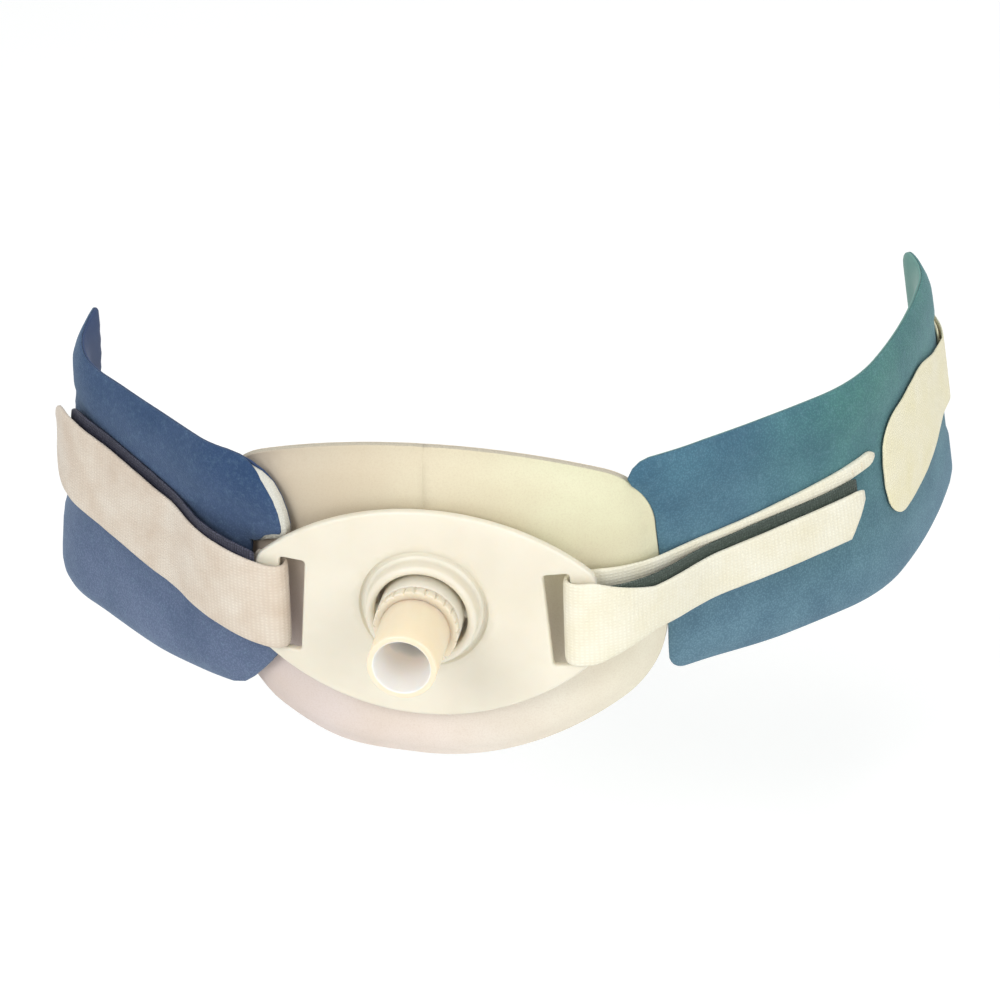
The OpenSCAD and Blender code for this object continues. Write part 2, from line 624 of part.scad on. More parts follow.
fold_full_x = 50;
curl_x = 61;
function right_base() = concat(strand(RIGHT, -1, base_off, 20),
                               follow(RIGHT, base_off, 23, right_fold_end - 8, 8),
                               follow(RIGHT, base_off, right_fold_end - 6, right_base_end, 6));
function right_fold() = concat(strand(RIGHT, 1, right_fold_off, right_settle),
                               follow(RIGHT, right_fold_off, right_settle + 3, right_fold_end - 6, 8),
                               follow(RIGHT, right_fold_off, right_fold_end - 5, right_fold_end, 2));
// the sewn end curls up and narrows to a point beyond the folded end
function right_base_top(x) =
    tab_low(RIGHT, x) + tab_h + 0.0035 * pow(max(0, x - curl_x), 2) - 1.3 * beyond_tip([x], fold_full_x);
function right_base_span(p) =
    let (x = abs(p[0]), low = tab_low(RIGHT, x) + (fold_lift + 1) * beyond_tip(p, fold_full_x),
         top = right_base_top(x), taper = max(0, 1 - (right_base_end - p[3]) / (right_base_end - right_fold_end + 7)))
    [low + (top - 0.8 - low) * taper, top];
function right_base_edges() = [for (p = right_base()) right_base_span(p)];
// the folded end is narrower beyond the flange's tip and cut at a slant
function slant(s) = 1.5 * max(0, 5 - (right_fold_end - s));
function right_fold_edges() = [for (p = right_fold())
    let (x = abs(p[0]), z = tab_low(RIGHT, x), f = beyond_tip(p, fold_full_x))
    [z + fold_lift * f + slant(p[3]), z + tab_h + (fold_lift + fold_h - tab_h) * f]];
module right_tab() {
    base = right_base();
    turn = loop_turn(RIGHT);
    color(cream) ribbon(RIGHT, concat([for (p = reversed(base)) flip(p)], turn, right_fold()), tab_t,
                        concat(reversed(right_base_edges()), full_edges(RIGHT, turn), right_fold_edges()));
}
module right_tab_hook() {
    line = hook_line(RIGHT, right_fold(), right_fold_end - 2);
    color([0.12, 0.15, 0.22]) ribbon(RIGHT, line, hook_t,
        [for (p = line) let (x = abs(p[0]), f = beyond_tip(p, fold_full_x))
            [tab_low(RIGHT, x) + (fold_lift + 1) * f + 1 + slant(p[3]), right_base_top(x) - base_show]]);
}
// rows of stitches across a tab's sewn end
module stitch_rows(side, rows, off, z0, z1) {
    count = floor((z1 - z0 - stitch_len) / stitch_step);
    for (s = rows, i = [0 : count]) translate(band_point(side, s, off, z0 + stitch_step * i))
        rotate([0, side * atan(lean_at(s)), 0]) cylinder(r = thread_r, h = stitch_len, $fn = 16);
}
module left_tab_stitch() {
    z = tab_low(LEFT, abs(band_at(LEFT, left_base_end)[0])) + 1.5;
    color("white") stitch_rows(LEFT, [left_base_end - 6, left_base_end - 2],
                               base_off + tab_t / 2 + thread_r, z, z + tab_h - 8);
}
// the rows lie past the end of the hook patch, where the base shows
module right_tab_stitch() {
    color("white") for (s = [right_fold_end - 1, right_fold_end + 2]) {
        span = right_base_span(band_at(RIGHT, s));
        stitch_rows(RIGHT, [s], base_off + tab_t / 2 + thread_r, span[0] + 1, span[1] - 1);
    }
}

// ---- rear closing tab, folded back over its anchor at the end of the right half
rear_tab_z = 5.5;
anchor_len = 15;
module rear_axis(k) {
    translate([k[0], k[1], -slot_z]) rotate([0, -atan(lean_at(knuckle_s)), 0]) translate([0, 0, slot_z]) children();
}
function rear_course() = concat(
    [for (d = [0, 0.2, 0.8, 1.8, 3, 4.5, 6.5, 9]) side_shift(band_at(RIGHT, rear_tab_end + d), RIGHT, rear_tab_off)],
    follow(RIGHT, rear_tab_off, rear_tab_end + 12, right_len - anchor_len - 8, 12),
    follow(RIGHT, rear_fold_off, right_len - anchor_len - 2, knuckle_s, 8));
// the tab is rounded at its loose end and narrows towards its anchor
function rear_half(s) =
    let (t = min(1, max(0, (right_len - anchor_len - 4 - s) / 24)))
    rear_neck_h / 2 + (rear_tab_h - rear_neck_h) / 2 * t * t * (3 - 2 * t) - corner_inset(s - rear_tab_end, 9);
function rear_edges(stations, less) =
    [for (p = stations) let (h = rear_half(p[3]) - less) [rear_tab_z - h, rear_tab_z + h]];
module rear_tab() {
    k = side_shift(band_at(RIGHT, knuckle_s), RIGHT, knuckle_off);
    color(cream) union() {
        ribbon(RIGHT, rear_course(), rear_tab_t, rear_edges(rear_course(), 0));
        rear_axis(k) translate([0, 0, rear_tab_z - rear_neck_h / 2]) cylinder(r = knuckle_r - 0.1, h = rear_neck_h);
    }
}
module rear_tab_hook() {
    line = follow(RIGHT, rear_hook_off, rear_tab_end + 6, right_len - anchor_len - 9, 16);
    color([0.12, 0.15, 0.22]) ribbon(RIGHT, line, rear_hook_t, rear_edges(line, 3));
}
module rear_tab_anchor() {
    line = follow(RIGHT, anchor_off, right_len - anchor_len, knuckle_s - knuckle_r - move_gap - 0.1, 6);
    color(cream) ribbon(RIGHT, line, rear_tab_t, rear_edges(line, 0));
}
module rear_tab_stitch() {
    z = rear_tab_z - rear_neck_h / 2 + 1;
    color("white") stitch_rows(RIGHT, [right_len - anchor_len + 2], anchor_off + rear_tab_t / 2 + thread_r / 4,
                               z, z + rear_neck_h - 2);
}

flange_plate();
dressing_cover_film();
dressing_foam_core();
dressing_contact_layer();
hub_body();
outer_cannula();
pivot_pins();
inner_cannula();
connector_15mm();
grip_ring();
left_band_shell();
left_band_foam();
left_band_lining();
left_tab();
left_tab_hook();
left_tab_stitch();
right_band_shell();
right_band_foam();
right_band_lining();
right_tab();
right_tab_hook();
right_tab_stitch();
rear_tab();
rear_tab_hook();
rear_tab_anchor();
rear_tab_stitch();
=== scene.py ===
"""Visual model of the tracheostomy tube holder, in the CAD frame.

Lengths in this file are millimetres until they reach Blender, which gets metres.
"""
import math

import bpy
import numpy as np
from mathutils import Matrix, Vector, noise
from mathutils.geometry import delaunay_2d_cdt


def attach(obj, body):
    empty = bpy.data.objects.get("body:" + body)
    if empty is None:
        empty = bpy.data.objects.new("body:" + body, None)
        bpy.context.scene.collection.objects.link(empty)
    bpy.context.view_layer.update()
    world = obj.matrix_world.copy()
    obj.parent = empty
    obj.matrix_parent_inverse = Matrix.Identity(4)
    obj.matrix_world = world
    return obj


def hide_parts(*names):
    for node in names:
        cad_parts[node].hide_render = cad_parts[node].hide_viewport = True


MM = 0.001
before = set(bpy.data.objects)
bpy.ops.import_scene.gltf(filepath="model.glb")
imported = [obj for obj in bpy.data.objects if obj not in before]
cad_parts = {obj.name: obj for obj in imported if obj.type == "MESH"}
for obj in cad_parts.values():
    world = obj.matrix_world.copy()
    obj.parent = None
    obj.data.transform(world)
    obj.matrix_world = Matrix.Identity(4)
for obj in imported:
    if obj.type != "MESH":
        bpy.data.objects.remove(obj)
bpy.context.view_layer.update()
scene = bpy.context.scene
sin, cos, pi = math.sin, math.cos, math.pi


def rad(a):
    return a * pi / 180


# ---------------------------------------------------------------- camera
AZ, EL, ROLL = rad(11), rad(29), rad(2)
AWAY, HALF_VIEW = 1.4, 0.11  # metres: the camera's distance, and half the picture's width at the object
AIM_X, AIM_Y = 0.0152, 0.0194  # metres: the picture's centre, across and up from the origin
SENSOR = 36
back = Vector((sin(AZ) * cos(EL), -cos(AZ) * cos(EL), sin(EL)))
right = Vector((cos(AZ), sin(AZ), 0))
up = back.cross(right)
cam_x = right * cos(ROLL) - up * sin(ROLL)
cam_y = right * sin(ROLL) + up * cos(ROLL)
cam = bpy.data.objects.new("camera", bpy.data.cameras.new("camera"))
scene.collection.objects.link(cam)
cam.data.sensor_width = SENSOR
cam.data.lens = SENSOR / 2 / (HALF_VIEW / AWAY)
cam.data.clip_end = 50
place = Matrix((cam_x, cam_y, back)).transposed().to_4x4()
place.translation = cam_x * AIM_X + cam_y * AIM_Y + back * AWAY
cam.matrix_world = place
scene.camera = cam

# ---------------------------------------------------------------- sizes, as in the CAD source
NECK_R, DRESS_T = 100, 5
UPPER_X, UPPER_Z, UPPER_R = 31.5, 13, 17
LOWER_X, LOWER_Z, LOWER_R = 29.5, 11, 21
DRESS_TOP, DRESS_BOTTOM, HOLE_R, SLIT = 36.4, 41, 8.6, 0.14
FLANGE_R, FLANGE_T, FLANGE_CY = 250, 2.2, 243
TIP_X, TIP_R, HALF_W = 33, 5, 38
EDGE_R, TOP_Z, LOW_Z = 55, -31, 28
SLOT_W, SLOT_H, SLOT_X, SLOT_Z, SLOT_LEAN = 5.8, 22.8, 30.2, -1.9, 4.5
COLLAR_R, COLLAR_BORE, COLLAR_BACK, COLLAR_FRONT = 12.4, 10.4, -5.3, -13
HUB_BACK, HUB_FRONT, HUB_STEP, HUB_R, HUB_BORE, TUBE_SEAT = -7.2, -15.5, -9.2, 9.4, 7.5, 5.52
GRIP_BACK, GRIP_FRONT, GRIP_SEAT, GRIP_NOTCHES = -15.8, -18.4, 7.32, 24
CONNECTOR_R, CONNECTOR_BORE, CONNECTOR_FRONT = 7.72, 6.22, -34.7
STEM_R, STEM_BORE, STEM_BACK = 6.4, 4.25, -11.5  # the inner tube's part inside the hub
BAND_T, BAND_TOP, REAR_DRAW, LEAN = 3.4, 30, 1.3, 6
TAB_T, TAB_H, HOOK_T, THREAD_R = 1.2, 20.4, 0.9, 0.2
LAYER, MOVE, SIDE_GAP = 0.05, 0.3, 0.6
BAR_X = 35.55
BAR_Y = FLANGE_CY - math.sqrt((FLANGE_R + FLANGE_T / 2) ** 2 - BAR_X**2)
LOOP_R, LOOP_SHIFT = 2.55 + TAB_T / 2, 1.2
REAR_T, REAR_HOOK_T, REAR_Z, REAR_NECK = 0.8, 0.6, 5.5, 8
LEFT, RIGHT = 1, -1
BOTTOM = {LEFT: 28.7, RIGHT: 24.2}
RISE = {LEFT: 0.145, RIGHT: 0.045}
BASE_OFF = LAYER + TAB_T / 2
BASE_END = {LEFT: 22, RIGHT: 70}
FOLD_END = {LEFT: 84, RIGHT: 63}
REAR_START, REAR_ANCHOR = 73, 15
# how far the lower edges hang below the CAD bands'
DROOP = {LEFT: 1.9, RIGHT: 1.4}


# ---------------------------------------------------------------- courses, as in the CAD source
def advance(p, dist, turn):
    chord = dist if abs(turn) < 1e-3 else dist * sin(rad(turn / 2)) / rad(turn / 2)
    a = rad(p[2] + turn / 2)
    return (p[0] + chord * cos(a), p[1] + chord * sin(a), p[2] + turn)


TOUCH_X, NOSE_LEN = 45, 15
RIGHT_X, RIGHT_HEADING, RIGHT_SINK = 43, 36, 0.4
CLEAR_R = NECK_R + DRESS_T + MOVE
TOUCH = math.degrees(math.asin(TOUCH_X / CLEAR_R))
START = {
    LEFT: (
        -(TOUCH_X + BAND_T * sin(rad(TOUCH))) + NOSE_LEN * cos(rad(TOUCH)),
        NECK_R - (CLEAR_R + BAND_T) * cos(rad(TOUCH)) - NOSE_LEN * sin(rad(TOUCH)),
        180 - TOUCH,
    ),
    RIGHT: (RIGHT_X, NECK_R - math.sqrt((NECK_R + DRESS_T) ** 2 - RIGHT_X**2) + RIGHT_SINK, RIGHT_HEADING),
}
STEPS = {
    LEFT: [(15, 0), (10, -15), (40, -5.5), (25, -40), (12.5, -8.5)],
    RIGHT: [(4, 0), (8, 5), (45.5, 7), (22, 27), (39.5, 13.5), (20.5, 39.5)],
}
LENGTH = {side: sum(d for d, _ in STEPS[side]) for side in (LEFT, RIGHT)}


def band_at(side, s):
    """A station (x, y, heading, distance along the band)."""
    p, left = START[side], s
    for i, (dist, turn) in enumerate(STEPS[side]):
        if left <= dist or i == len(STEPS[side]) - 1:
            return (*advance(p, left, turn * left / dist), s)
        p, left = advance(p, dist, turn), left - dist


def shift(p, side, off):
    """A station moved outwards, away from the neck."""
    a = rad(p[2] + 90 * side)
    return (p[0] + off * cos(a), p[1] + off * sin(a), *p[2:])


def smooth(t):
    t = min(1, max(0, t))
    return t * t * (3 - 2 * t)


def rearward(s):
    """0 at the front of a band, 1 where it has its full lean."""
    return smooth((s - 14) / 32)


def leaned(side, p, z):
    lean = math.tan(rad(LEAN)) * rearward(p[3]) if len(p) > 3 else 0
    return (p[0] + side * lean * (z - SLOT_Z), p[1], z)


def band_point(side, s, off, z):
    return leaned(side, shift(band_at(side, s), side, off), z)


def follow(side, off, s0, s1, n):
    """Stations along the band, off millimetres from its outer face."""
    return [shift(band_at(side, s0 + (s1 - s0) * i / n), side, off) for i in range(n + 1)]


def loop_end(side, layer):
    """Where a tab leaves the loop round the slot's bar, as the sewn strand (-1) or the folded one (1)."""
    turn = math.degrees(math.asin(BAR_X / (FLANGE_R + FLANGE_T / 2)))
    h = 180 - turn if side == LEFT else turn
    n = rad(h + 90 * side)
    return (
        -side * BAR_X - LOOP_SHIFT * cos(rad(h)) + layer * LOOP_R * cos(n),
        BAR_Y - LOOP_SHIFT * sin(rad(h)) + layer * LOOP_R * sin(n),
        h,
    )


def in_band(side, p):
    """A place in the band's own terms: distance along, distance out and slope."""
    b = band_at(side, 0)
    d, n, h = (p[0] - b[0], p[1] - b[1]), rad(b[2] + 90 * side), rad(b[2])
    return (
        d[0] * cos(h) + d[1] * sin(h),
        d[0] * cos(n) + d[1] * sin(n),
        math.tan(rad((p[2] - b[2]) * side)),
    )


def strand(side, layer, off, s1, n=24):
    """Stations from the loop's end to the distance s1, where the tab lies off millimetres from the band."""
    e = in_band(side, loop_end(side, layer))
    reach, out = s1 - e[0], []
    for i in range(n + 1):
        t = i / n
        h0, h1 = 2 * t**3 - 3 * t * t + 1, t**3 - 2 * t * t + t
        o = e[1] * h0 + off * (1 - h0) + e[2] * reach * h1
        rate = (e[1] - off) * (6 * t * t - 6 * t) / reach + e[2] * (3 * t * t - 4 * t + 1)
        p = shift(band_at(side, e[0] + reach * t), side, o)
        out.append((p[0], p[1], p[2] + side * math.degrees(math.atan(rate)), p[3]))
    return out


def loop_turn(side, n=14):
    a = loop_end(side, -1)
    start = (a[0], a[1], a[2] + 180)
    return [advance(start, pi * LOOP_R * i / n, -side * 180 * i / n) for i in range(1, n)]


def flipped(course):
    return [(p[0], p[1], p[2] + 180, *p[3:]) for p in reversed(course)]


def tab_low(side, p):
    """A tab's lower edge at a station; it rises with the distance from the bar."""
    return SLOT_Z - TAB_H / 2 + RISE[side] * (abs(p[0]) - BAR_X)


def corner(s, r):
    """How far a corner of radius r draws an edge in, at the distance s from the end."""
    return 0 if s >= r else r - math.sqrt(r * r - (r - max(s, 0)) ** 2)


# ---------------------------------------------------------------- meshes
def new_object(name, verts, faces, course=None):
    """verts in millimetres; course is a per-vertex (along, across, depth), also in millimetres."""
    mesh = bpy.data.meshes.new(name)
    verts, faces = np.asarray(verts, float), [list(map(int, f)) for f in faces]
    if volume(verts, faces) < 0:
        faces = [f[::-1] for f in faces]
    mesh.from_pydata([tuple(float(c) * MM for c in v) for v in verts], [], faces)
    mesh.update()
    if course is not None:
        layer = mesh.attributes.new("course", "FLOAT_VECTOR", "POINT")
        layer.data.foreach_set("vector", np.asarray(course, float).ravel())
    mesh.polygons.foreach_set("use_smooth", [True] * len(mesh.polygons))
    obj = bpy.data.objects.new(name, mesh)
    scene.collection.objects.link(obj)
    return obj


def volume(verts, faces):
    """Signed volume of a closed form; below zero it is inside out."""
    tri = np.array([(f[0], f[i], f[i + 1]) for f in faces for i in range(1, len(f) - 1)])
    a, b, c = (verts[tri[:, i]] for i in range(3))
    return float(np.einsum("ij,ij->i", a, np.cross(b, c)).sum()) / 6


def ring_faces(rows):
    """Quads between neighbouring rings, each a row of as many point numbers."""
    return [
        (r0[(i + 1) % len(r0)], r0[i], r1[i], r1[(i + 1) % len(r0)])
        for r0, r1 in zip(rows, rows[1:]) for i in range(len(r0))
    ]


def number_rows(count, size, base=0):
    """Rows of point numbers for count rings of size points, last ring first, as ring_faces needs them."""
    return [list(range(base + i * size, base + (i + 1) * size)) for i in range(count)][::-1]


def rod_faces(count, size, base=0):
    """The sides and both ends of a rod made of rings."""
    rows = number_rows(count, size, base)
    return ring_faces(rows) + [rows[-1][::-1], rows[0]]


def inside(points, loops):
    """Even-odd test of many points against closed loops."""
    hit = np.zeros(len(points), bool)
    for loop in loops:
        a, b = np.asarray(loop), np.roll(loop, -1, axis=0)
        for (x0, y0), (x1, y1) in zip(a, b):
            if y0 != y1:
                cross = (points[:, 1] < y0) != (points[:, 1] < y1)
                x = x0 + (points[:, 1] - y0) * (x1 - x0) / (y1 - y0)
                hit ^= cross & (points[:, 0] < x)
    return hit


def edge_distance(points, loops):
    best = np.full(len(points), 1e9)
    for loop in loops:
        a, b = np.asarray(loop, float), np.roll(loop, -1, axis=0)
        for p, q in zip(a, b):
            d = q - p
            t = np.clip(((points - p) @ d) / max(d @ d, 1e-12), 0, 1)
            best = np.minimum(best, np.linalg.norm(points - p - t[:, None] * d, axis=1))
    return best


def resample(loop, step):
    """Closed loop at an even step, its sharp corners kept."""
    loop = np.asarray(loop, float)
    out = []
    for p, q in zip(loop, np.roll(loop, -1, axis=0)):
        n = max(1, round(float(np.linalg.norm(q - p)) / step))
        out += [p + (q - p) * i / n for i in range(n)]
    return np.array(out)


def triangulate(loops, step):
    """Points and triangles that fill the loops; the loops' own points come first."""
    pts = np.concatenate(loops)
    edges, base = [], 0
    for loop in loops:
        edges += [(base + i, base + (i + 1) % len(loop)) for i in range(len(loop))]
        base += len(loop)
    lo, hi = pts.min(0), pts.max(0)
    rows = np.arange(lo[1], hi[1], step * 0.87)
    columns = np.arange(lo[0], hi[0], step)
    # every other row is moved along by half a step
    grid = np.array([(x + (j % 2) * step / 2, y) for j, y in enumerate(rows) for x in columns])
    grid = grid[inside(grid, loops)]
    grid = grid[edge_distance(grid, loops) > step * 0.6]
    every = np.concatenate([pts, grid])
    faces, orig = delaunay_2d_cdt([Vector(p) for p in every], edges, [], 0, 1e-6)[2:4]
    where = [o[0] if o else -1 for o in orig]
    tri = np.array([[where[i] for i in f] for f in faces if min(where[i] for i in f) >= 0])
    centre = every[tri].mean(1)
    return every, tri[inside(centre, loops)]


def outward(loop):
    """Unit normals pointing out of the material, which lies left of the loop's direction."""
    d = np.roll(loop, -1, axis=0) - np.roll(loop, 1, axis=0)
    n = np.stack([d[:, 1], -d[:, 0]], 1)
    return n / np.maximum(np.linalg.norm(n, axis=1), 1e-9)[:, None]


class Slab:
    """A closed sheet over 2D loops. Its rim rings run from the front face to the back face.

    Points are (u, v, k): k is 1 on the front face, -1 on the back face and between on the rim.
    """

    def __init__(self, loops, step, rim):
        flat, tri = triangulate(loops, step)
        n, nb = len(flat), sum(len(x) for x in loops)
        self.count, self.flat = n, flat
        uvk = [np.c_[flat, np.ones(n)], np.c_[flat, -np.ones(n)]]
        faces = [tuple(f) for f in tri] + [tuple(i + n for i in f[::-1]) for f in tri]
        self.front_faces = len(tri)
        normal = np.concatenate([outward(x) for x in loops])
        edge = flat[:nb]
        rings = [np.arange(nb)]
        for grow, k in rim:
            rings.append(np.arange(nb) + 2 * n + nb * (len(rings) - 1))
            uvk.append(np.c_[edge + normal * grow, np.full(nb, k)])
        rings.append(np.arange(nb) + n)
        base = 0
        for loop in loops:
            faces += ring_faces([ring[base : base + len(loop)] for ring in rings])
            base += len(loop)
        self.uvk, self.faces, self.rings = np.concatenate(uvk), faces, rings
        self.depth = np.concatenate([edge_distance(flat, loops)] * 2 + [np.zeros(nb)] * len(rim))


def swell(name, verts, faces, pinned, pressure, cap):
    """Blows a closed form up as cloth and returns the moved points, none by more than cap millimetres."""
    big, frames = 10 * MM, 20  # the cloth is simulated at ten times its size
    points = [tuple(float(c) * big for c in v) for v in verts]
    mesh = bpy.data.meshes.new(name)
    mesh.from_pydata(points, [], [list(map(int, f)) for f in faces])
    obj = bpy.data.objects.new(name, mesh)
    scene.collection.objects.link(obj)
    group = obj.vertex_groups.new(name="pin")
    group.add([int(i) for i in pinned], 1.0, "REPLACE")
    cloth = obj.modifiers.new("cloth", "CLOTH")
    s = cloth.settings
    s.quality = 6
    s.mass = 0.3
    s.tension_stiffness = s.compression_stiffness = 20
    s.shear_stiffness = 8
    s.bending_stiffness = 0.3
    s.use_pressure = True
    s.uniform_pressure_force = pressure
    s.shrink_min = -0.02  # the cloth is a little too large for the form, so it billows
    s.effector_weights.gravity = 0
    s.vertex_group_mass = "pin"
    cloth.point_cache.frame_start, cloth.point_cache.frame_end = 1, frames
    for f in range(1, frames + 1):
        scene.frame_set(f)
    done = obj.evaluated_get(bpy.context.evaluated_depsgraph_get()).to_mesh()
    co = np.empty(len(verts) * 3)
    done.vertices.foreach_get("co", co)
    co = co.reshape(-1, 3) / big
    bpy.data.objects.remove(obj)
    scene.frame_set(1)
    move = co - np.asarray(verts, float)
    size = np.linalg.norm(move, axis=1)
    print(name, "moved", round(float(size.max()), 2), "mm at most")
    return np.asarray(verts) + move * np.minimum(1, cap / np.maximum(size, 1e-9))[:, None]


def calm(slab, values):
    """Averages a slab's values with their neighbours on each face, and fades them out at the edge."""
    n, values = slab.count, np.array(values, float)
    tri = np.array(slab.faces[: slab.front_faces])
    sides = ((0, 1), (1, 2), (2, 0), (1, 0), (2, 1), (0, 2))
    pairs = np.concatenate([tri[:, [i, j]] for i, j in sides])
    many = np.bincount(pairs[:, 0], minlength=n)
    for face in (slice(0, n), slice(n, 2 * n)):
        part = values[face]
        for _ in range(8):
            part = (part + np.bincount(pairs[:, 0], part[pairs[:, 1]], n)) / (1 + many)
        values[face] = part
    return values * np.clip(slab.depth / 4, 0, 1)


def waves(points, scale, seed):
    """Smooth noise from -1 to 1 at each point."""
    shift_by = Vector((seed * 7.3, seed * 3.1, seed * 1.7))
    return np.array([noise.fractal(Vector(p) / scale + shift_by, 0.6, 2.0, 2) for p in points])


# ---------------------------------------------------------------- materials
def hexcol(text):
    """A colour as seen on screen, turned to linear."""
    return tuple(((int(text[i : i + 2], 16) / 255 + 0.055) / 1.055) ** 2.4 for i in (0, 2, 4))


def rgba(colour):
    return (*(hexcol(colour) if isinstance(colour, str) else colour), 1)


def darker(colour, share):
    return tuple(c * share for c in hexcol(colour))


class Tree:
    """A node tree, with short calls for the nodes used here."""

    def __init__(self, tree):
        self.tree = tree

    def node(self, kind, inputs=(), **props):
        n = self.tree.nodes.new(kind)
        for key, value in props.items():
            setattr(n, key, value)
        for key, value in dict(inputs).items():
            self.feed(n.inputs[key], value)
        return n

    def feed(self, socket, value):
        if isinstance(value, bpy.types.NodeSocket):
            self.tree.links.new(value, socket)
        else:
            socket.default_value = value

    def math(self, op, a, b=0.0):
        return self.node("ShaderNodeMath", {0: a, 1: b}, operation=op).outputs[0]


class Nodes(Tree):
    """A material's nodes. Colours are sockets, linear tuples or hex text as seen on screen."""

    def __init__(self, name):
        self.mat = bpy.data.materials.new(name)
        self.mat.use_nodes = True
        super().__init__(self.mat.node_tree)
        self.bsdf = self.tree.nodes["Principled BSDF"]

    def mix(self, fac, a, b):
        n = self.node("ShaderNodeMix", {0: fac}, data_type="RGBA")
        for socket, value in ((n.inputs[6], a), (n.inputs[7], b)):
            self.feed(socket, value if isinstance(value, bpy.types.NodeSocket) else rgba(value))
        return n.outputs[2]

    def span(self, value, a, b):
        """0 at a, 1 at b, clamped."""
        n = self.node("ShaderNodeMapRange", {"Value": value, "From Min": a, "From Max": b})
        return n.outputs["Result"]

    def tint(self, base, colour, value, a, b, most):
        """Turns base towards a colour, not at all where value is a and by most where it is b."""
        return self.mix(self.math("MULTIPLY", self.span(value, a, b), most), base, colour)

    def sum(self, a, times_a, b, times_b):
        return self.math("ADD", self.math("MULTIPLY", a, times_a), self.math("MULTIPLY", b, times_b))

    def ramp(self, fac, stops):
        n = self.node("ShaderNodeValToRGB", {0: fac})
        ramp = n.color_ramp
        while len(ramp.elements) < len(stops):
            ramp.elements.new(0.5)
        for e, (at, colour) in zip(ramp.elements, stops):
            e.position = at
            e.color = rgba(colour)
        return n.outputs[0]

    def noise(self, vector, scale, detail=2.0, rough=0.5):
        inputs = {"Vector": vector, "Scale": scale, "Detail": detail, "Roughness": rough}
        return self.node("ShaderNodeTexNoise", inputs).outputs["Fac"]

    def cells(self, vector, scale, randomness=1.0):
        inputs = {"Vector": vector, "Scale": scale, "Randomness": randomness}
        return self.node("ShaderNodeTexVoronoi", inputs).outputs["Distance"]

    def wave(self, vector, scale, distortion, direction="X", more=()):
        inputs = {"Vector": vector, "Scale": scale, "Distortion": distortion, **dict(more)}
        return self.node("ShaderNodeTexWave", inputs, bands_direction=direction).outputs["Fac"]

    def place(self):
        """Object coordinates in millimetres, and their separate axes."""
        co = self.node("ShaderNodeTexCoord").outputs["Object"]
        mm = self.node("ShaderNodeVectorMath", {0: co, "Scale": 1 / MM}, operation="SCALE").outputs[0]
        return mm, self.node("ShaderNodeSeparateXYZ", {0: mm}).outputs

    def course(self):
        """The mesh's own coordinates in millimetres: along, across and depth."""
        return self.node("ShaderNodeAttribute", attribute_name="course").outputs["Vector"]

    def bump(self, height, strength, distance, normal=None):
        n = self.node("ShaderNodeBump", {"Height": height, "Strength": strength, "Distance": distance * MM})
        if normal is not None:
            self.feed(n.inputs["Normal"], normal)
        return n.outputs[0]

    def finish(self, **values):
        for key, value in values.items():
            socket = self.bsdf.inputs[key.replace("_", " ")]
            if isinstance(value, tuple) and len(value) == 3 and socket.type == "RGBA":
                value = (*value, 1)
            self.feed(socket, value)
        return self.mat


def loop_fabric(name, stops, a, b, low):
    """Brushed loop pile. The colour runs across the part from x = a to b, and turns to the paler low colour
    downwards, as painted light.
    """
    m = Nodes(name)
    co, xyz = m.place()
    base = m.ramp(m.span(xyz[0], a, b), stops)
    # painted light and shade: paler towards the lower edge, darker towards the top
    base = m.mix(m.span(xyz[2], -24.0, 26.0), low, base)
    base = m.tint(base, "1d3a5c", m.noise(co, 0.09, 3.0), 0.35, 0.7, 0.28)
    base = m.tint(base, "8fb3c4", m.noise(co, 0.6, 4.0, 0.7), 0.5, 0.75, 0.15)
    pile = m.cells(co, 2.2)
    base = m.tint(base, "12304a", pile, 0.15, 0.6, 0.3)
    height = m.sum(pile, -0.6, m.noise(co, 4.5, 3.0, 0.7), 0.7)
    soft = m.bump(m.noise(co, 0.35, 2.0), 0.25, 0.5)
    return m.finish(
        Base_Color=base, Roughness=0.95, Normal=m.bump(height, 0.55, 0.18, soft), Sheen_Weight=0.35,
        Sheen_Roughness=0.4, Sheen_Tint=(0.55, 0.72, 0.85), Specular_IOR_Level=0.2,
    )


def knit(name, colour, dark, pitch, sheen=0.25):
    """Fine warp knit, for the linings and the dressing's contact layer."""
    m = Nodes(name)
    co, _ = m.place()
    cell = m.cells(co, 1 / pitch, 0.35)
    base = m.mix(m.span(m.noise(co, 0.07, 3.0), 0.3, 0.75), colour, dark)
    base = m.tint(base, dark, cell, 0.3, 0.7, 0.35)
    height = m.sum(cell, -0.5, m.noise(co, 2.4, 3.0, 0.65), 0.5)
    return m.finish(
        Base_Color=base, Roughness=0.9, Normal=m.bump(height, 0.4, 0.15), Sheen_Weight=sheen,
        Sheen_Roughness=0.5, Specular_IOR_Level=0.25,
    )


def film(name):
    """The dressing's cover: a soft skin, tan above and lilac-pink below, partly its own tone and partly
    painted light: darker over the top and to the left as painted shade, paler below and to the right as
    painted light.
    """
    m = Nodes(name)
    co, xyz = m.place()
    # painted shade and light: both ramps darken to the left, and the darker upper ramp is mixed in over the
    # top
    across = m.span(xyz[0], -46.0, 44.0)
    upper = m.ramp(across, [(0.0, "c2b4a2"), (0.55, "ded4b8"), (1.0, "e3e3c0")])
    lower = m.ramp(across, [(0.0, "d5c7c5"), (0.5, "e6dad0"), (1.0, "ece7d3")])
    base = m.mix(m.span(xyz[2], -8.0, 14.0), lower, upper)
    base = m.tint(base, "cdb79a", m.noise(co, 0.05, 3.0), 0.35, 0.75, 0.3)
    grain = m.noise(co, 2.6, 4.0, 0.65)
    base = m.tint(base, "b69a7c", grain, 0.45, 0.7, 0.16)
    height = m.sum(grain, 0.4, m.span(m.cells(co, 0.55, 0.1), 0.0, 0.35), 0.5)
    return m.finish(
        Base_Color=base, Roughness=0.78, Normal=m.bump(height, 0.3, 0.15), Sheen_Weight=0.15,
        Specular_IOR_Level=0.3,
    )


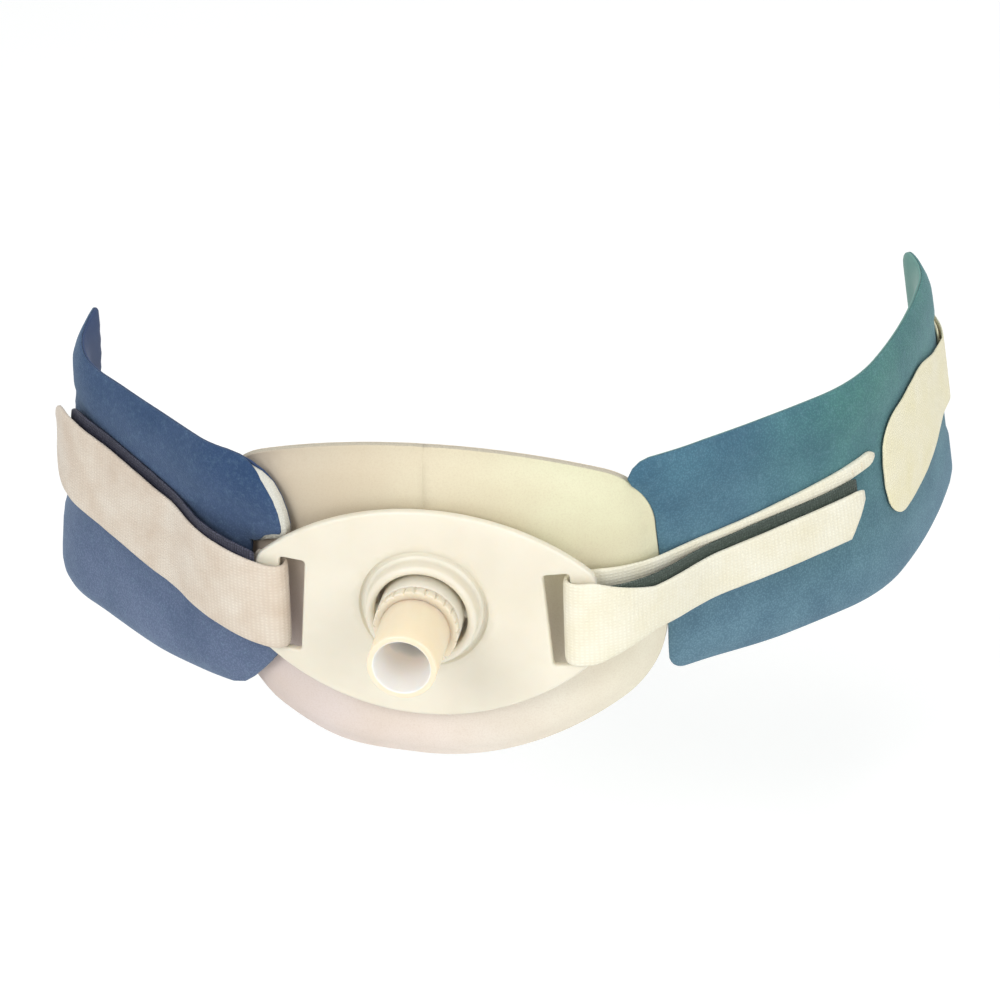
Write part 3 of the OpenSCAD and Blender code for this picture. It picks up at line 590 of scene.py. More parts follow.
def foam(name, colour):
    m = Nodes(name)
    co, _ = m.place()
    cell = m.cells(co, 2.8)
    base = m.tint(hexcol(colour), darker(colour, 0.5), cell, 0.1, 0.5, 0.35)
    return m.finish(Base_Color=base, Roughness=0.95, Normal=m.bump(cell, 0.7, 0.2), Specular_IOR_Level=0.2)


def webbing(name, colour, dark, light):
    """Brushed woven tape, with ribs across and warp along."""
    m = Nodes(name)
    co = m.course()
    fine = {"Detail": 1.0, "Detail Scale": 2.0}
    weave = m.math("MULTIPLY", m.wave(co, 0.42, 0.8, "Y", fine), m.wave(co, 0.3, 1.0, "X", fine))
    fuzz = m.noise(co, 1.6, 4.0, 0.7)
    base = m.mix(m.span(m.noise(co, 0.12, 3.0), 0.3, 0.72), light, colour)
    base = m.mix(m.math("MULTIPLY", m.math("SUBTRACT", 1.0, weave), 0.28), base, dark)
    base = m.tint(base, light, fuzz, 0.48, 0.72, 0.25)
    height = m.sum(weave, 0.7, fuzz, 0.5)
    return m.finish(
        Base_Color=base, Roughness=0.88, Normal=m.bump(height, 0.6, 0.22), Sheen_Weight=0.3,
        Sheen_Roughness=0.45, Specular_IOR_Level=0.25,
    )


def hook_tape(name, colour, dark):
    """Rows of small hooks, dark; where the tape shows along the tabs, its dark colour is also painted shade.
    """
    m = Nodes(name)
    co = m.course()
    knobs = m.cells(co, 1.6, 0.25)
    base = m.mix(m.span(knobs, 0.1, 0.6), colour, dark)
    height = m.math("ADD", m.wave(co, 0.5, 0.3), m.math("MULTIPLY", knobs, -1.2))
    return m.finish(Base_Color=base, Roughness=0.5, Normal=m.bump(height, 0.8, 0.3), Specular_IOR_Level=0.4)


def thread(name, colour):
    m = Nodes(name)
    co, _ = m.place()
    twist = m.wave(co, 1.4, 0.5, "DIAGONAL")
    base = m.mix(m.math("MULTIPLY", twist, 0.4), colour, darker(colour, 0.6))
    return m.finish(Base_Color=base, Roughness=0.8, Normal=m.bump(twist, 0.5, 0.1))


def plastic(name, colour, dark, rough, subsurface, coat=0.0, scatter=4, bore=None):
    """Moulded plastic with faint flow marks, dust in the low places and small scuffs."""
    m = Nodes(name)
    co, xyz = m.place()
    cloud = m.noise(co, 0.06, 3.0)
    speck = m.noise(co, 1.3, 4.0, 0.75)
    base = m.tint(colour, dark, cloud, 0.35, 0.75, 0.55)
    base = m.tint(base, dark, speck, 0.6, 0.8, 0.2)
    if bore:  # painted light: the inside of the tube is painted paler, up to the inner tube's own wall, where shade would fall
        squares = [m.math("MULTIPLY", xyz[i], xyz[i]) for i in (0, 2)]
        radius = m.math("SQRT", m.math("ADD", *squares))
        painted_light_in_bore = m.math("MULTIPLY", m.span(radius, bore + 0.3, bore), m.span(xyz[1], -11.0, -12.0))
        base = m.mix(painted_light_in_bore, base, "fef5ed")
    scuff = m.wave(co, 0.11, 9.0, more={"Detail": 3.0})
    wear = m.sum(m.span(scuff, 0.6, 1.0), 0.12, speck, 0.12)
    height = m.sum(speck, 0.4, cloud, 0.4)
    return m.finish(
        Base_Color=base, Roughness=m.math("ADD", wear, rough - 0.06), Normal=m.bump(height, 0.12, 0.12),
        Subsurface_Weight=subsurface, Subsurface_Scale=scatter * MM, Subsurface_Radius=(1.0, 0.7, 0.5),
        Coat_Weight=coat, IOR=1.49,
    )


# each band's last colour is its paler lower edge, painted light
BLUE = {
    LEFT: loop_fabric("loop_fabric_left", [(0.0, "495c7c"), (1.0, "3c5276")], -90.0, -35.0, "73809c"),
    RIGHT: loop_fabric(
        "loop_fabric_right", [(0.0, "567f92"), (0.4, "5b8595"), (0.75, "5b9088"), (1.0, "64948a")],
        42.0, 100.0, "7294a4",
    ),
}
INNER = {
    LEFT: knit("inner_fabric_left", "394c70", "304163", 0.8, 0.08),
    RIGHT: knit("inner_fabric_right", "6c988e", "588880", 0.8),
}
CONTACT = knit("contact_layer", "e6dac6", "dccfb8", 0.7)
FILM = film("cover_film")
FOAM_WHITE = foam("white_foam", "d9cfba")
FOAM_BAND = foam("band_foam", "e6e4d8")
WEB = {
    "left": webbing("webbing_left", "d8c7b4", "b4a08a", "e9dfd0"),
    "right": webbing("webbing_right", "efe9d0", "d0c4a4", "f6f3e2"),
    "rear": webbing("webbing_rear", "f5edc6", "d8cca0", "faf4da"),
}
# the hook tapes' dark colour is partly their own and partly painted shade, for the gaps between the tabs'
# layers
HOOK_AND_SHADE = {
    LEFT: hook_tape("hook_tape_left", "545568", "2c2d3c"),
    RIGHT: hook_tape("hook_tape_right", "647068", "3a463e"),
}
THREAD = thread("thread", "efe6d2")
IVORY = plastic("ivory_plastic", "e9e2d1", "dcd4bf", 0.38, 0.3)
# bore gives the radius of the tube's inside, which is painted paler as painted light
TINTED = plastic("tinted_plastic", "fad8bb", "f2cdae", 0.3, 0.85, coat=0.2, scatter=9, bore=6.3)
OUTER_TUBE = plastic("outer_tube_plastic", "ece5d4", "ded6c2", 0.36, 0.12, scatter=1.5)
INNER_TUBE = plastic("inner_tube_plastic", "f2ddc8", "e8ceb4", 0.3, 0.12, coat=0.2, scatter=1.5)


def dress(obj, mat, slot, body, *nodes):
    obj.data.materials.clear()
    obj.data.materials.append(mat)
    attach(obj, body)
    if nodes:
        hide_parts(*nodes)
    return obj


# ---------------------------------------------------------------- outlines
def arc(cx, cz, r, a0, a1, n):
    turns = [rad(a0 + (a1 - a0) * i / n) for i in range(n + 1)]
    return [(cx + r * cos(a), cz + r * sin(a)) for a in turns]


def mirror(points):
    return [(-x, z) for x, z in reversed(points)]


def tidy(points, gap=0.05):
    """Drops points that lie on the one before them."""
    out = []
    for p in points:
        if not out or math.dist(p, out[-1]) > gap:
            out.append(p)
    if math.dist(out[0], out[-1]) < gap:
        out.pop()
    return out


# ---------------------------------------------------------------- flange
def on_flange(x, z, off):
    return (x, FLANGE_CY - math.sqrt((FLANGE_R + off) ** 2 - x * x), z)


def collar_rings(loop):
    """Rings from the relief groove over the collar, through its bore and back to the plate."""
    groove = [(2.0, 0.1), (1.9, 0.75), (1.6, 0.95), (1.2, 0.95), (0.95, 0.75), (0.85, 0.1), (0.7, -0.02)]
    groove += [(0.35, -0.14), (0.1, -0.45), (0, -0.95)]
    lip, ease = (COLLAR_R - COLLAR_BORE) / 2, 0.3
    wall = [(COLLAR_R, -10.4), (COLLAR_R, COLLAR_FRONT + lip)]
    for a in range(20, 180, 20):
        wall.append((COLLAR_R - lip + lip * cos(rad(a)), COLLAR_FRONT + lip - lip * sin(rad(a))))
    wall += [(COLLAR_BORE, COLLAR_FRONT + lip), (COLLAR_BORE, -9.0), (COLLAR_BORE, COLLAR_BACK - ease)]
    wall += [(COLLAR_BORE + ease, COLLAR_BACK), (COLLAR_R - ease, COLLAR_BACK)]
    wall += [(COLLAR_R, COLLAR_BACK - ease)]
    # (radius, y, the level in the plate that y is measured from, if any)
    profile = [(COLLAR_R + grow, y, FLANGE_T) for grow, y in groove]
    profile += [(r, y, None) for r, y in wall] + [(COLLAR_R, 0.12, 0)]
    out = []
    for r, y, level in profile:
        ring = []
        for x, z in loop:
            q = math.hypot(x, z)
            ring.append((x / q * r, y if level is None else on_flange(x, z, level)[1] + y, z / q * r))
        out.append(ring)
    return out


def make_flange():
    drop = math.sqrt((EDGE_R - TIP_R) ** 2 - TIP_X**2)
    tip = math.degrees(math.atan2(drop, TIP_X))
    soft = 0.55  # radius of the moulded edges
    half = tidy(
        arc(0, TOP_Z, EDGE_R - soft, 90, tip, 30) + arc(TIP_X, TOP_Z + drop, TIP_R - soft, tip, 0, 8)
        + arc(TIP_X, LOW_Z - drop, TIP_R - soft, 0, -tip, 8) + arc(0, LOW_Z, EDGE_R - soft, -tip, -90, 30)
    )
    loops = [resample(tidy(half + mirror(half))[::-1], 1.3)]
    w, h, r = SLOT_W / 2 + soft, SLOT_H / 2 + soft, 1.4
    box = []
    for sx, sz, a in ((1, 1, 0), (-1, 1, 90), (-1, -1, 180), (1, -1, 270)):
        box += arc(sx * (w - r), sz * (h - r), r, a, a + 90, 5)
    for side in (-1, 1):
        c, s = cos(rad(SLOT_LEAN)), -side * sin(rad(SLOT_LEAN))
        turned = [(side * SLOT_X + x * c + z * s, SLOT_Z - x * s + z * c) for x, z in box]
        loops.append(resample(tidy(turned)[::-1], 1.2))
    foot = COLLAR_R + 2.1  # outer edge of the relief groove
    loops.append(np.array(arc(0, 0, foot, 0, -360, 112)[:-1]))
    flat, tri = triangulate(loops, 1.5)
    n = len(flat)
    verts = [on_flange(x, z, FLANGE_T) for x, z in flat] + [on_flange(x, z, 0) for x, z in flat]
    faces = [tuple(f) for f in tri] + [tuple(i + n for i in f[::-1]) for f in tri]
    bend = [(soft * sin(rad(a)), soft * (1 - cos(rad(a)))) for a in (30, 60, 90)]
    edge = [(grow, FLANGE_T - off) for grow, off in bend] + bend[::-1]
    base = 0
    for loop in loops:
        m = len(loop)
        if loop is loops[-1]:
            added = collar_rings(loop)
        else:
            sides = list(zip(loop, outward(loop)))
            added = [[on_flange(*(p + q * grow), off) for p, q in sides] for grow, off in edge]
        rows = [list(range(base, base + m))]
        for points in added:
            rows.append(list(range(len(verts), len(verts) + m)))
            verts += points
        rows.append(list(range(base + n, base + n + m)))
        faces += ring_faces(rows)
        base += m
    obj = new_object("flange", verts, faces)
    return dress(obj, IVORY, "ivory_plastic", "neck_plate", "flange_plate")


# ---------------------------------------------------------------- turned parts
def lathe(name, profile, n=96, notch=None):
    """profile is a closed list of (radius, y) about the tube's axis.

    notch is (the radius beyond which notches bite, their depth, how many).
    """
    verts = []
    for i in range(n):
        a = 2 * pi * i / n
        for r, y in profile:
            if notch and r > notch[0]:
                r -= notch[1] * max(0, cos(a * notch[2])) ** 6
            verts.append((r * cos(a), y, r * sin(a)))
    rows = number_rows(n, len(profile))
    return new_object(name, verts, ring_faces(rows[-1:] + rows))


def rounded(points, r):
    """Rounds every corner of a closed profile."""
    pts, out, steps = [Vector(p) for p in points], [], 4
    for i, p in enumerate(pts):
        a, b = pts[i - 1] - p, pts[(i + 1) % len(pts)] - p
        k = min(r, a.length * 0.45, b.length * 0.45)
        p0, p1 = p + a.normalized() * k, p + b.normalized() * k
        for j in range(steps + 1):
            t = j / steps
            out.append(tuple(p0 * (1 - t) ** 2 + p * 2 * t * (1 - t) + p1 * t * t))
    return out


def make_tube_parts():
    profile = [(TUBE_SEAT, HUB_BACK), (HUB_R, HUB_BACK), (HUB_R, HUB_FRONT), (HUB_BORE, HUB_FRONT)]
    profile += [(HUB_BORE, HUB_STEP), (TUBE_SEAT, HUB_STEP)]
    dress(lathe("hub", rounded(profile, 0.4)), IVORY, "ivory_plastic", "cannula", "hub_body")
    profile = [(GRIP_SEAT, GRIP_BACK), (HUB_R, GRIP_BACK), (HUB_R, GRIP_FRONT), (GRIP_SEAT, GRIP_FRONT)]
    ring = lathe("grip_ring", rounded(profile, 0.35), 288, (8.6, 0.45, GRIP_NOTCHES))
    dress(ring, TINTED, "tinted_plastic", "inner_tube", "grip_ring")
    step = GRIP_BACK - LAYER
    profile = [(STEM_BORE, STEM_BACK), (STEM_R, STEM_BACK), (STEM_R, step), (GRIP_SEAT, step)]
    profile += [(GRIP_SEAT, GRIP_FRONT), (CONNECTOR_R, GRIP_FRONT), (CONNECTOR_R, CONNECTOR_FRONT)]
    profile += [(CONNECTOR_BORE, CONNECTOR_FRONT), (CONNECTOR_BORE, -20.7), (4.3, -16.5), (STEM_BORE, -16.4)]
    barrel = lathe("airway_connector", rounded(profile, 0.45))
    dress(barrel, TINTED, "tinted_plastic", "inner_tube", "connector_15mm")
    for node, mat in (("outer_cannula", OUTER_TUBE), ("inner_cannula", INNER_TUBE), ("pivot_pins", IVORY)):
        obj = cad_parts[node]
        obj.data.materials.clear()
        obj.data.materials.append(mat)


# ---------------------------------------------------------------- dressing
def on_neck(x, z, off):
    return (x, NECK_R - math.sqrt((NECK_R + off) ** 2 - x * x), z)


def dressing_outline():
    """The whole outline with its slit and keyhole, then the outer edge and the keyhole apart."""
    def cap(cx, d, r):
        """Radius of the wide arc that runs into a corner arc of radius r."""
        return (cx * cx + d * d - r * r) / (2 * (d - r))

    top_r = cap(UPPER_X, DRESS_TOP - UPPER_Z, UPPER_R)
    low_r = cap(LOWER_X, DRESS_BOTTOM - LOWER_Z, LOWER_R)
    top_a = math.degrees(math.acos(UPPER_X / (top_r - UPPER_R)))
    low_a = math.degrees(math.acos(LOWER_X / (low_r - LOWER_R)))
    start = math.degrees(math.acos(SLIT / top_r))
    half = tidy(
        arc(0, DRESS_TOP - top_r, top_r, start, top_a, 24) + arc(UPPER_X, UPPER_Z, UPPER_R, top_a, 0, 16)
        + arc(LOWER_X, -LOWER_Z, LOWER_R, 0, -low_a, 18)
        + arc(0, low_r - DRESS_BOTTOM, low_r, -low_a, -90, 20)
    )
    outer = half + mirror(half)[1:]
    lip = math.degrees(math.asin(SLIT / HOLE_R))
    keyhole = arc(0, 0, HOLE_R, 90 + lip, 450 - lip, 44)
    return tidy(outer + keyhole)[::-1], outer, keyhole


def make_dressing():
    """One simulated pad gives the film, the foam and the contact layer their shapes."""
    outline, outer, keyhole = dressing_outline()
    loop = resample(outline, 1.5)
    rim = [(0.35, 0.55), (0.5, 0.0), (0.35, -0.55)]
    slab = Slab([loop], 1.7, rim)
    uvk, depth = slab.uvk, slab.depth
    nb = len(loop)
    in_slit = uvk[:, 1] > HOLE_R + 0.2
    half = np.sign(np.r_[slab.flat[:, 0], slab.flat[:, 0], np.tile(slab.flat[:nb, 0], len(rim))])

    def crown(d, reach, least):
        return least + (1 - least) * np.sqrt(1 - (1 - np.clip(d / reach, 0, 1)) ** 2)

    # full height inside, thin at the outer edge; the lips of the slit are only a little lower
    full = DRESS_T * crown(edge_distance(uvk[:, :2], [outer, keyhole]), 9, 0.5)
    full = np.where(in_slit, full * crown(np.abs(uvk[:, 0]), 1.2, 0.975), full)
    # the back lies on the neck; the front and the rim take the crown
    k = uvk[:, 2]
    off = 0.94 * full * np.where(np.abs(k) == 1, (k + 1) / 2, 0.5 + k / 4)
    flat = uvk[:, :2] * 0.995
    flat[:, 0] = np.where(in_slit & (np.abs(flat[:, 0]) < 0.2), half * 0.025, flat[:, 0])
    # the lower left corner hangs a little
    hang = [smooth((-26 - z) / 5) * smooth((x + 52) / 16) * smooth((-4 - x) / 22) for x, z in flat]
    flat[:, 1] -= 2.2 * np.array(hang)
    pos = np.array([on_neck(x, z, o) for (x, z), o in zip(flat, off)])
    seam = np.where((depth > 2.0) & (depth < 3.2))[0]
    rear = np.where(k < -0.5)[0]
    moved = swell("dressing", pos, slab.faces, np.concatenate([seam, rear]), 3.0, 6.0)
    # keep the front inside the CAD crown, and the back on the neck
    from_axis = [np.hypot(v[:, 0], NECK_R - v[:, 1]) for v in (moved, pos)]
    change = calm(slab, from_axis[0] - from_axis[1])
    change += 0.15 * waves(pos, 14, 1) * np.clip(depth / 4, 0, 1)
    roof = np.minimum(full + 0.3, DRESS_T - 0.02)
    off = np.where(k == 1, np.minimum(off + change, roof), np.maximum(off, 0.02))
    out = np.array([on_neck(x, z, o) for (x, z), o in zip(flat, off)])
    for name, low, high, mat, slot, node in (
        ("dressing_film", 0.78, 1.0, FILM, "cover_film", "dressing_cover_film"),
        ("dressing_core", 0.16, 0.775, FOAM_WHITE, "white_foam", "dressing_foam_core"),
        ("dressing_contact", 0.0, 0.155, CONTACT, "lining", "dressing_contact_layer"),
    ):
        verts = layer_between(slab, out, low, high, 0.18 if name == "dressing_core" else 0.0)
        obj = new_object(name, verts, slab.faces, slab.uvk * 1.0)
        dress(obj, mat, slot, "neck_plate", node)


def layer_between(slab, solid, low, high, sink=0.0):
    """A thinner closed layer between two levels of a slab's solid, its rim sunk inwards by sink millimetres.

    low, high and sink are numbers, or arrays with one value for each point of the front face.
    """
    n, nb = slab.count, len(slab.rings[0])
    low, high, sink = (np.broadcast_to(np.asarray(x, float), (n,))[:, None] for x in (low, high, sink))
    front, rear = solid[:n], solid[n : 2 * n]
    verts = solid.copy()
    verts[:n] = rear + (front - rear) * high
    verts[n : 2 * n] = rear + (front - rear) * low
    # the rim rings are placed anew between the two faces, bulging as the solid's rim does
    rings = slab.rings[1:-1]
    f, b = front[:nb], rear[:nb]
    middle = solid[rings[len(rings) // 2]]
    bulge = middle - (f + b) / 2
    size = np.linalg.norm(bulge, axis=1)[:, None]
    bulge = bulge * (size - sink[:nb]) / np.maximum(size, 1e-6)

    def level(t):
        return b + (f - b) * t + bulge * np.sqrt(np.maximum(0, 1 - (2 * t - 1) ** 2))

    for i, ring in enumerate(rings):
        verts[ring] = level(high[:nb] + (low[:nb] - high[:nb]) * (i + 1) / (len(rings) + 1))
    edge = slab.rings[0]
    verts[edge], verts[edge + n] = level(high[:nb]), level(low[:nb])
    return verts


# ---------------------------------------------------------------- neck band
def band_high(s):
    return BAND_TOP - REAR_DRAW * rearward(s)


def band_low(side, s):
    """The lower edge, which hangs up to DROOP below the CAD band's."""
    return -BOTTOM[side] + REAR_DRAW * rearward(s) - DROOP[side] * smooth((s - 16) / 24)


def band_outline(side):
    """(distance along, height) round the band: the lower edge, the far end, the upper edge and the nose."""
    length = LENGTH[side]
    bottom = [(s, band_low(side, s)) for s in np.arange(20, length - 5, 3.0)]
    top = [(s, band_high(s)) for s in np.arange(length - 5, 18, -3.0)]
    lo, hi = band_low(side, length), band_high(length)
    if side == LEFT:
        end = [(length - 1.2, lo), (length - 0.2, lo + 1), (length, lo + 3)]
        end += [(length, z) for z in np.arange(lo + 8, hi - 6, 5)]
        end += [(length, hi - 3), (length - 0.2, hi - 0.8), (length - 1, hi)]
        nose = [(14.5, 30.0), (11, 29.7), (8, 28.9), (5, 27.3), (2.5, 25.0), (0.6, 22.2), (-0.7, 19.0)]
        nose += [(-1.4, 16.0), (-1.4, 14.2), (-0.6, 13.0), (1.5, 12.4), (3.6, 11.6), (5.4, 10.4), (7, 9.8)]
        nose += [(8.7, 9.9), (9.2, 6), (9.2, -1), (9.2, -8), (8.7, -12.2), (6.5, -12.9), (4.2, -13.4)]
        nose += [(2.8, -14.2), (2.3, -15.6), (3.0, -17.6), (5.0, -20.2), (7.5, -23.0), (10.2, -25.8)]
        nose += [(12.6, -27.7), (15.6, -28.6)]
        return end_loop(bottom + end + top + nose, side)
    r, a = 4, range(0, 91, 18)
    end = [(length - r + r * sin(rad(k)), lo + r - r * cos(rad(k))) for k in a]
    end += [(length, z) for z in np.arange(lo + 9, hi - 8, 5)]
    end += [(length - r + r * cos(rad(k)), hi - r + r * sin(rad(k))) for k in a]
    nose = [(5.5, 30), (3.4, 29.5), (1.7, 28.3), (0.7, 26.6)]
    # down round the dressing's upper corner, then beside its edge
    gap = SIDE_GAP - 0.15
    clear, beside_upper, beside_lower = UPPER_R + gap, UPPER_X + UPPER_R + gap, LOWER_X + LOWER_R + gap
    for s in np.arange(1.6, 16, 0.15):
        x = band_at(RIGHT, s)[0]
        if x >= beside_lower:
            break
        z = UPPER_Z - (UPPER_Z + LOWER_Z) * (x - beside_upper) / (beside_lower - beside_upper)
        if x < beside_upper - 0.05:
            z = UPPER_Z + math.sqrt(max(0.01, clear * clear - (x - UPPER_X) ** 2))
        nose.append((s, z))
    nose += [(s, z) for z in (-13, -16, -18.5)]
    nose += [(s + 4 - 4 * cos(rad(k)), -20.2 - 4 * sin(rad(k))) for k in range(15, 91, 15)]
    return end_loop(bottom + end + top + nose, side)


def end_loop(points, side):
    """Anticlockwise seen from outside; there the left half runs towards smaller numbers."""
    loop = tidy([(-side * s, z) for s, z in points], 0.4)
    return loop[::-1] if side == LEFT else loop


def under_tab(side, s, z):
    """1 where something lies on the band's outer face, 0 where it is free."""
    if side == LEFT:
        return smooth((90 - s) / 4) * smooth((20 - z) / 3) * smooth((z + 16) / 3)
    return smooth((20 - z) / 3) * smooth((z + 14) / 3)


def make_band(side):
    name = "left" if side == LEFT else "right"
    loop = resample(band_outline(side), 1.7)
    slab = Slab([loop], 2.1, [(0.25, 0.5), (0.4, 0.0), (0.25, -0.5)])
    uvk, n, nb = slab.uvk, slab.count, len(slab.rings[0])
    along, height = -side * uvk[:, 0], uvk[:, 1]

    # 1 at the left nose, whose cut edge stays thick and open
    def cut(s, z):
        return np.where((side == LEFT) & (z > 8), np.clip((9 - s) / 6, 0, 1), 0.0)

    nose = cut(along, height)
    pinch = 0.42 + 0.48 * nose
    d = np.clip(slab.depth / 7, 0, 1)
    half = BAND_T / 2 * (pinch + (1 - pinch) * np.sqrt(1 - (1 - d) ** 2))
    # the right nose is cut along y, not square to the band
    skew = np.zeros(len(uvk))
    if side == RIGHT:
        skew = np.array([math.tan(rad(band_at(RIGHT, s)[2])) * min(1, max(0, (36 - s) / 22)) for s in along])

    def place(s, z, off, lead):
        return band_point(side, s - off * lead, off, z)

    off = -BAND_T / 2 + half * 0.96 * uvk[:, 2]
    pos = np.array([place(*v) for v in zip(along, height, off, skew)])
    seam = np.concatenate(slab.rings[1:-1])
    moved = swell(name + "_band", pos, slab.faces, seam, 3.5, 5.0)
    # what the simulation changed, as a shift across the band
    normal = np.array([(cos(a), sin(a), 0) for a in (rad(band_at(side, s)[2] + 90 * side) for s in along)])
    change = calm(slab, ((moved - pos) * normal).sum(1))
    roll = waves(pos, 26, 2 if side == LEFT else 3) * np.clip(slab.depth / 4, 0, 1)
    press = np.array([under_tab(side, s, z) for s, z in zip(along, height)])
    front = np.arange(len(uvk)) < n
    swollen = np.clip(change, -0.3, 0.5) + 0.25 * roll
    roof = np.where(press > 0.2, -0.02, 0.45)
    behind = np.where(uvk[:, 2] <= -0.99, np.maximum(swollen, -0.25), 0)
    swollen = np.where(front, np.minimum(swollen, roof - off), behind)
    # the left half stands off the tab above and below it
    if side == LEFT:
        swollen = swollen + np.array([
            smooth((s - 58) / 22) * (1.2 * smooth((-7 - z) / 9) + 0.9 * smooth((z - 15) / 14))
            for s, z in zip(along, height)
        ])
    solid = pos + swollen[:, None] * normal

    rim = np.arange(n) < nb
    open_rim = nose[:n]
    # the shell and the lining meet along the seam; at the left nose the foam shows between them
    shell_low = np.where(rim, 0.52 + 0.32 * open_rim, 0.86)
    foam_high = shell_low - 0.015
    lining_high = np.where(rim, 0.47 - 0.31 * open_rim, 0.14)
    foam_low = lining_high + 0.015
    sunk = np.where(rim, 0.9 * (1 - open_rim), 0)
    # the outer fabric stops short of the cut edge
    turn = outward(loop) * nose[:nb, None] * 1.1
    short = np.array([place(-side * (u - a), v - b, 0, 0) for (u, v), (a, b) in zip(loop, turn)])
    short -= np.array([place(-side * u, v, 0, 0) for u, v in loop])
    for part, low, high, sink, mat, slot_name in (
        ("shell", shell_low, 1.0, 0.0, BLUE[side], "loop_fabric"),
        ("foam", foam_low, foam_high, sunk, FOAM_BAND, "band_foam"),
        ("lining", 0.0, lining_high, 0.0, INNER[side], "inner_fabric"),
    ):
        verts = layer_between(slab, solid, low, high, sink)
        if part == "shell":
            for ring in slab.rings:
                verts[ring] += short
        obj = new_object(f"{name}_band_{part}", verts, slab.faces, np.c_[along, height, uvk[:, 2]])
        dress(obj, mat, slot_name, name + "_strap", f"{name}_band_{part}")


# ---------------------------------------------------------------- webbing
def evenly(stations, edges, step=1.1):
    """The stations and edges again, at an even step along the course."""
    pts = np.array([(p[0], p[1], p[2], p[3] if len(p) > 3 else 0.0, *e) for p, e in zip(stations, edges)])
    pts[:, 2] = np.degrees(np.unwrap(np.radians(pts[:, 2])))
    gap = np.r_[0, np.cumsum(np.linalg.norm(np.diff(pts[:, :2], axis=0), axis=1))]
    keep = np.r_[True, np.diff(gap) > 1e-4]
    pts, gap = pts[keep], gap[keep]
    at = np.linspace(0, gap[-1], max(2, round(gap[-1] / step)) + 1)
    return at, np.stack([np.interp(at, gap, pts[:, i]) for i in range(6)], 1)


def make_ribbon(name, side, stations, edges, thick, body, bulge=None, rough=0.1, seed=1, step=1.1):
    """A strap swept along its stations, between a lower and an upper edge, with soft selvedges.

    bulge(s, v) gives millimetres of lift towards the outside, v running from -1 to 1 across the strap.
    """
    at, rows = evenly(stations, edges, step)
    columns = 13
    across = np.sin(np.linspace(-pi / 2, pi / 2, columns))
    verts, course = [], []
    for i, (d, (x, y, h, s, lo, hi)) in enumerate(zip(at, rows)):
        soft = (0.55, 0.85, 1)[min(i, len(at) - 1 - i, 2)]
        mid, reach = (lo + hi) / 2, (hi - lo) / 2
        for k in (1, -1):
            for v in across[::k]:
                out = k * thick / 2 * soft * (0.42 + 0.58 * math.sqrt(max(0, 1 - abs(v) ** 10)))
                z = mid + v * (reach - (1 - soft) * 0.8)
                p = shift(shift((x, y, h, s), side, out), side, bulge(s, v) if bulge else 0)
                verts.append(leaned(side, p, z))
                course.append((d, z, out))
    verts = np.array(verts)
    ring = 2 * columns
    normal = np.repeat([(cos(a), sin(a), 0) for a in np.radians(rows[:, 2] + 90 * side)], ring, axis=0)
    ruffle = waves(verts, 9, seed) * rough * np.tile(np.r_[across, across[::-1]], len(at)) ** 2
    verts = verts + normal * ruffle[:, None]
    numbers = number_rows(len(at), ring)
    faces = ring_faces(numbers)
    for row, turn in ((numbers[-1], -1), (numbers[0], 1)):
        faces += [(row[j], row[j + 1], row[-2 - j], row[-1 - j])[::turn] for j in range(columns - 1)]
    hooks = name.endswith("_hook")
    mat, slot = (HOOK_AND_SHADE[side], "hook_tape") if hooks else (WEB[name.split("_")[0]], "webbing")
    return dress(new_object(name, verts, faces, course), mat, slot, body, name)


def beyond_tip(x, full):
    """0 up to the flange's tip, 1 from the distance full."""
    return min(1, max(0, (abs(x) - HALF_W) / (full - HALF_W)))


def capsules(name, ends, body):
    """Short stitches, each a small rounded rod between two points."""
    verts, faces = [], []
    levels = [(-0.7, 0.35), (-0.35, 0.8), (0, 1), (0, 1), (0.35, 0.8), (0.7, 0.35)]
    for a, b in ends:
        a, b = Vector(a), Vector(b)
        axis = (b - a).normalized()
        side = axis.cross(Vector((0.3, 0.9, 0.2))).normalized()
        other = axis.cross(side)
        faces += rod_faces(len(levels), 8, len(verts))
        for i, (over, wide) in enumerate(levels):
            centre = (a if i < 3 else b) + axis * over * THREAD_R
            for j in range(8):
                q = j * pi / 4
                verts.append(centre + (side * cos(q) + other * sin(q)) * THREAD_R * wide)
    return dress(new_object(name, verts, faces), THREAD, "thread", body, name)


def stitch_rows(side, rows, off, z0, z1):
    """The ends of upright rows of stitches between the heights z0 and z1, off millimetres from the band."""
    out, pitch, length = [], 2.7, 1.8
    for s in rows:
        z = z0
        while z + length <= z1:
            out.append((band_point(side, s, off, z + 0.2), band_point(side, s, off, z + length - 0.2)))
            z += pitch
    return out


def hooks_under(side, fold, past, end):
    """Stations of the hook tape under a folded strand, from beyond the x past to the distance end."""
    return [shift(p, side, -(HOOK_T + TAB_T) / 2 - LAYER) for p in fold if abs(p[0]) > past and p[3] < end]


def span(side, p, up=0, down=0):
    """A tab's lower and upper edge at a station, the lower one raised and the upper one lowered."""
    z = tab_low(side, p)
    return z + up, z + TAB_H - down


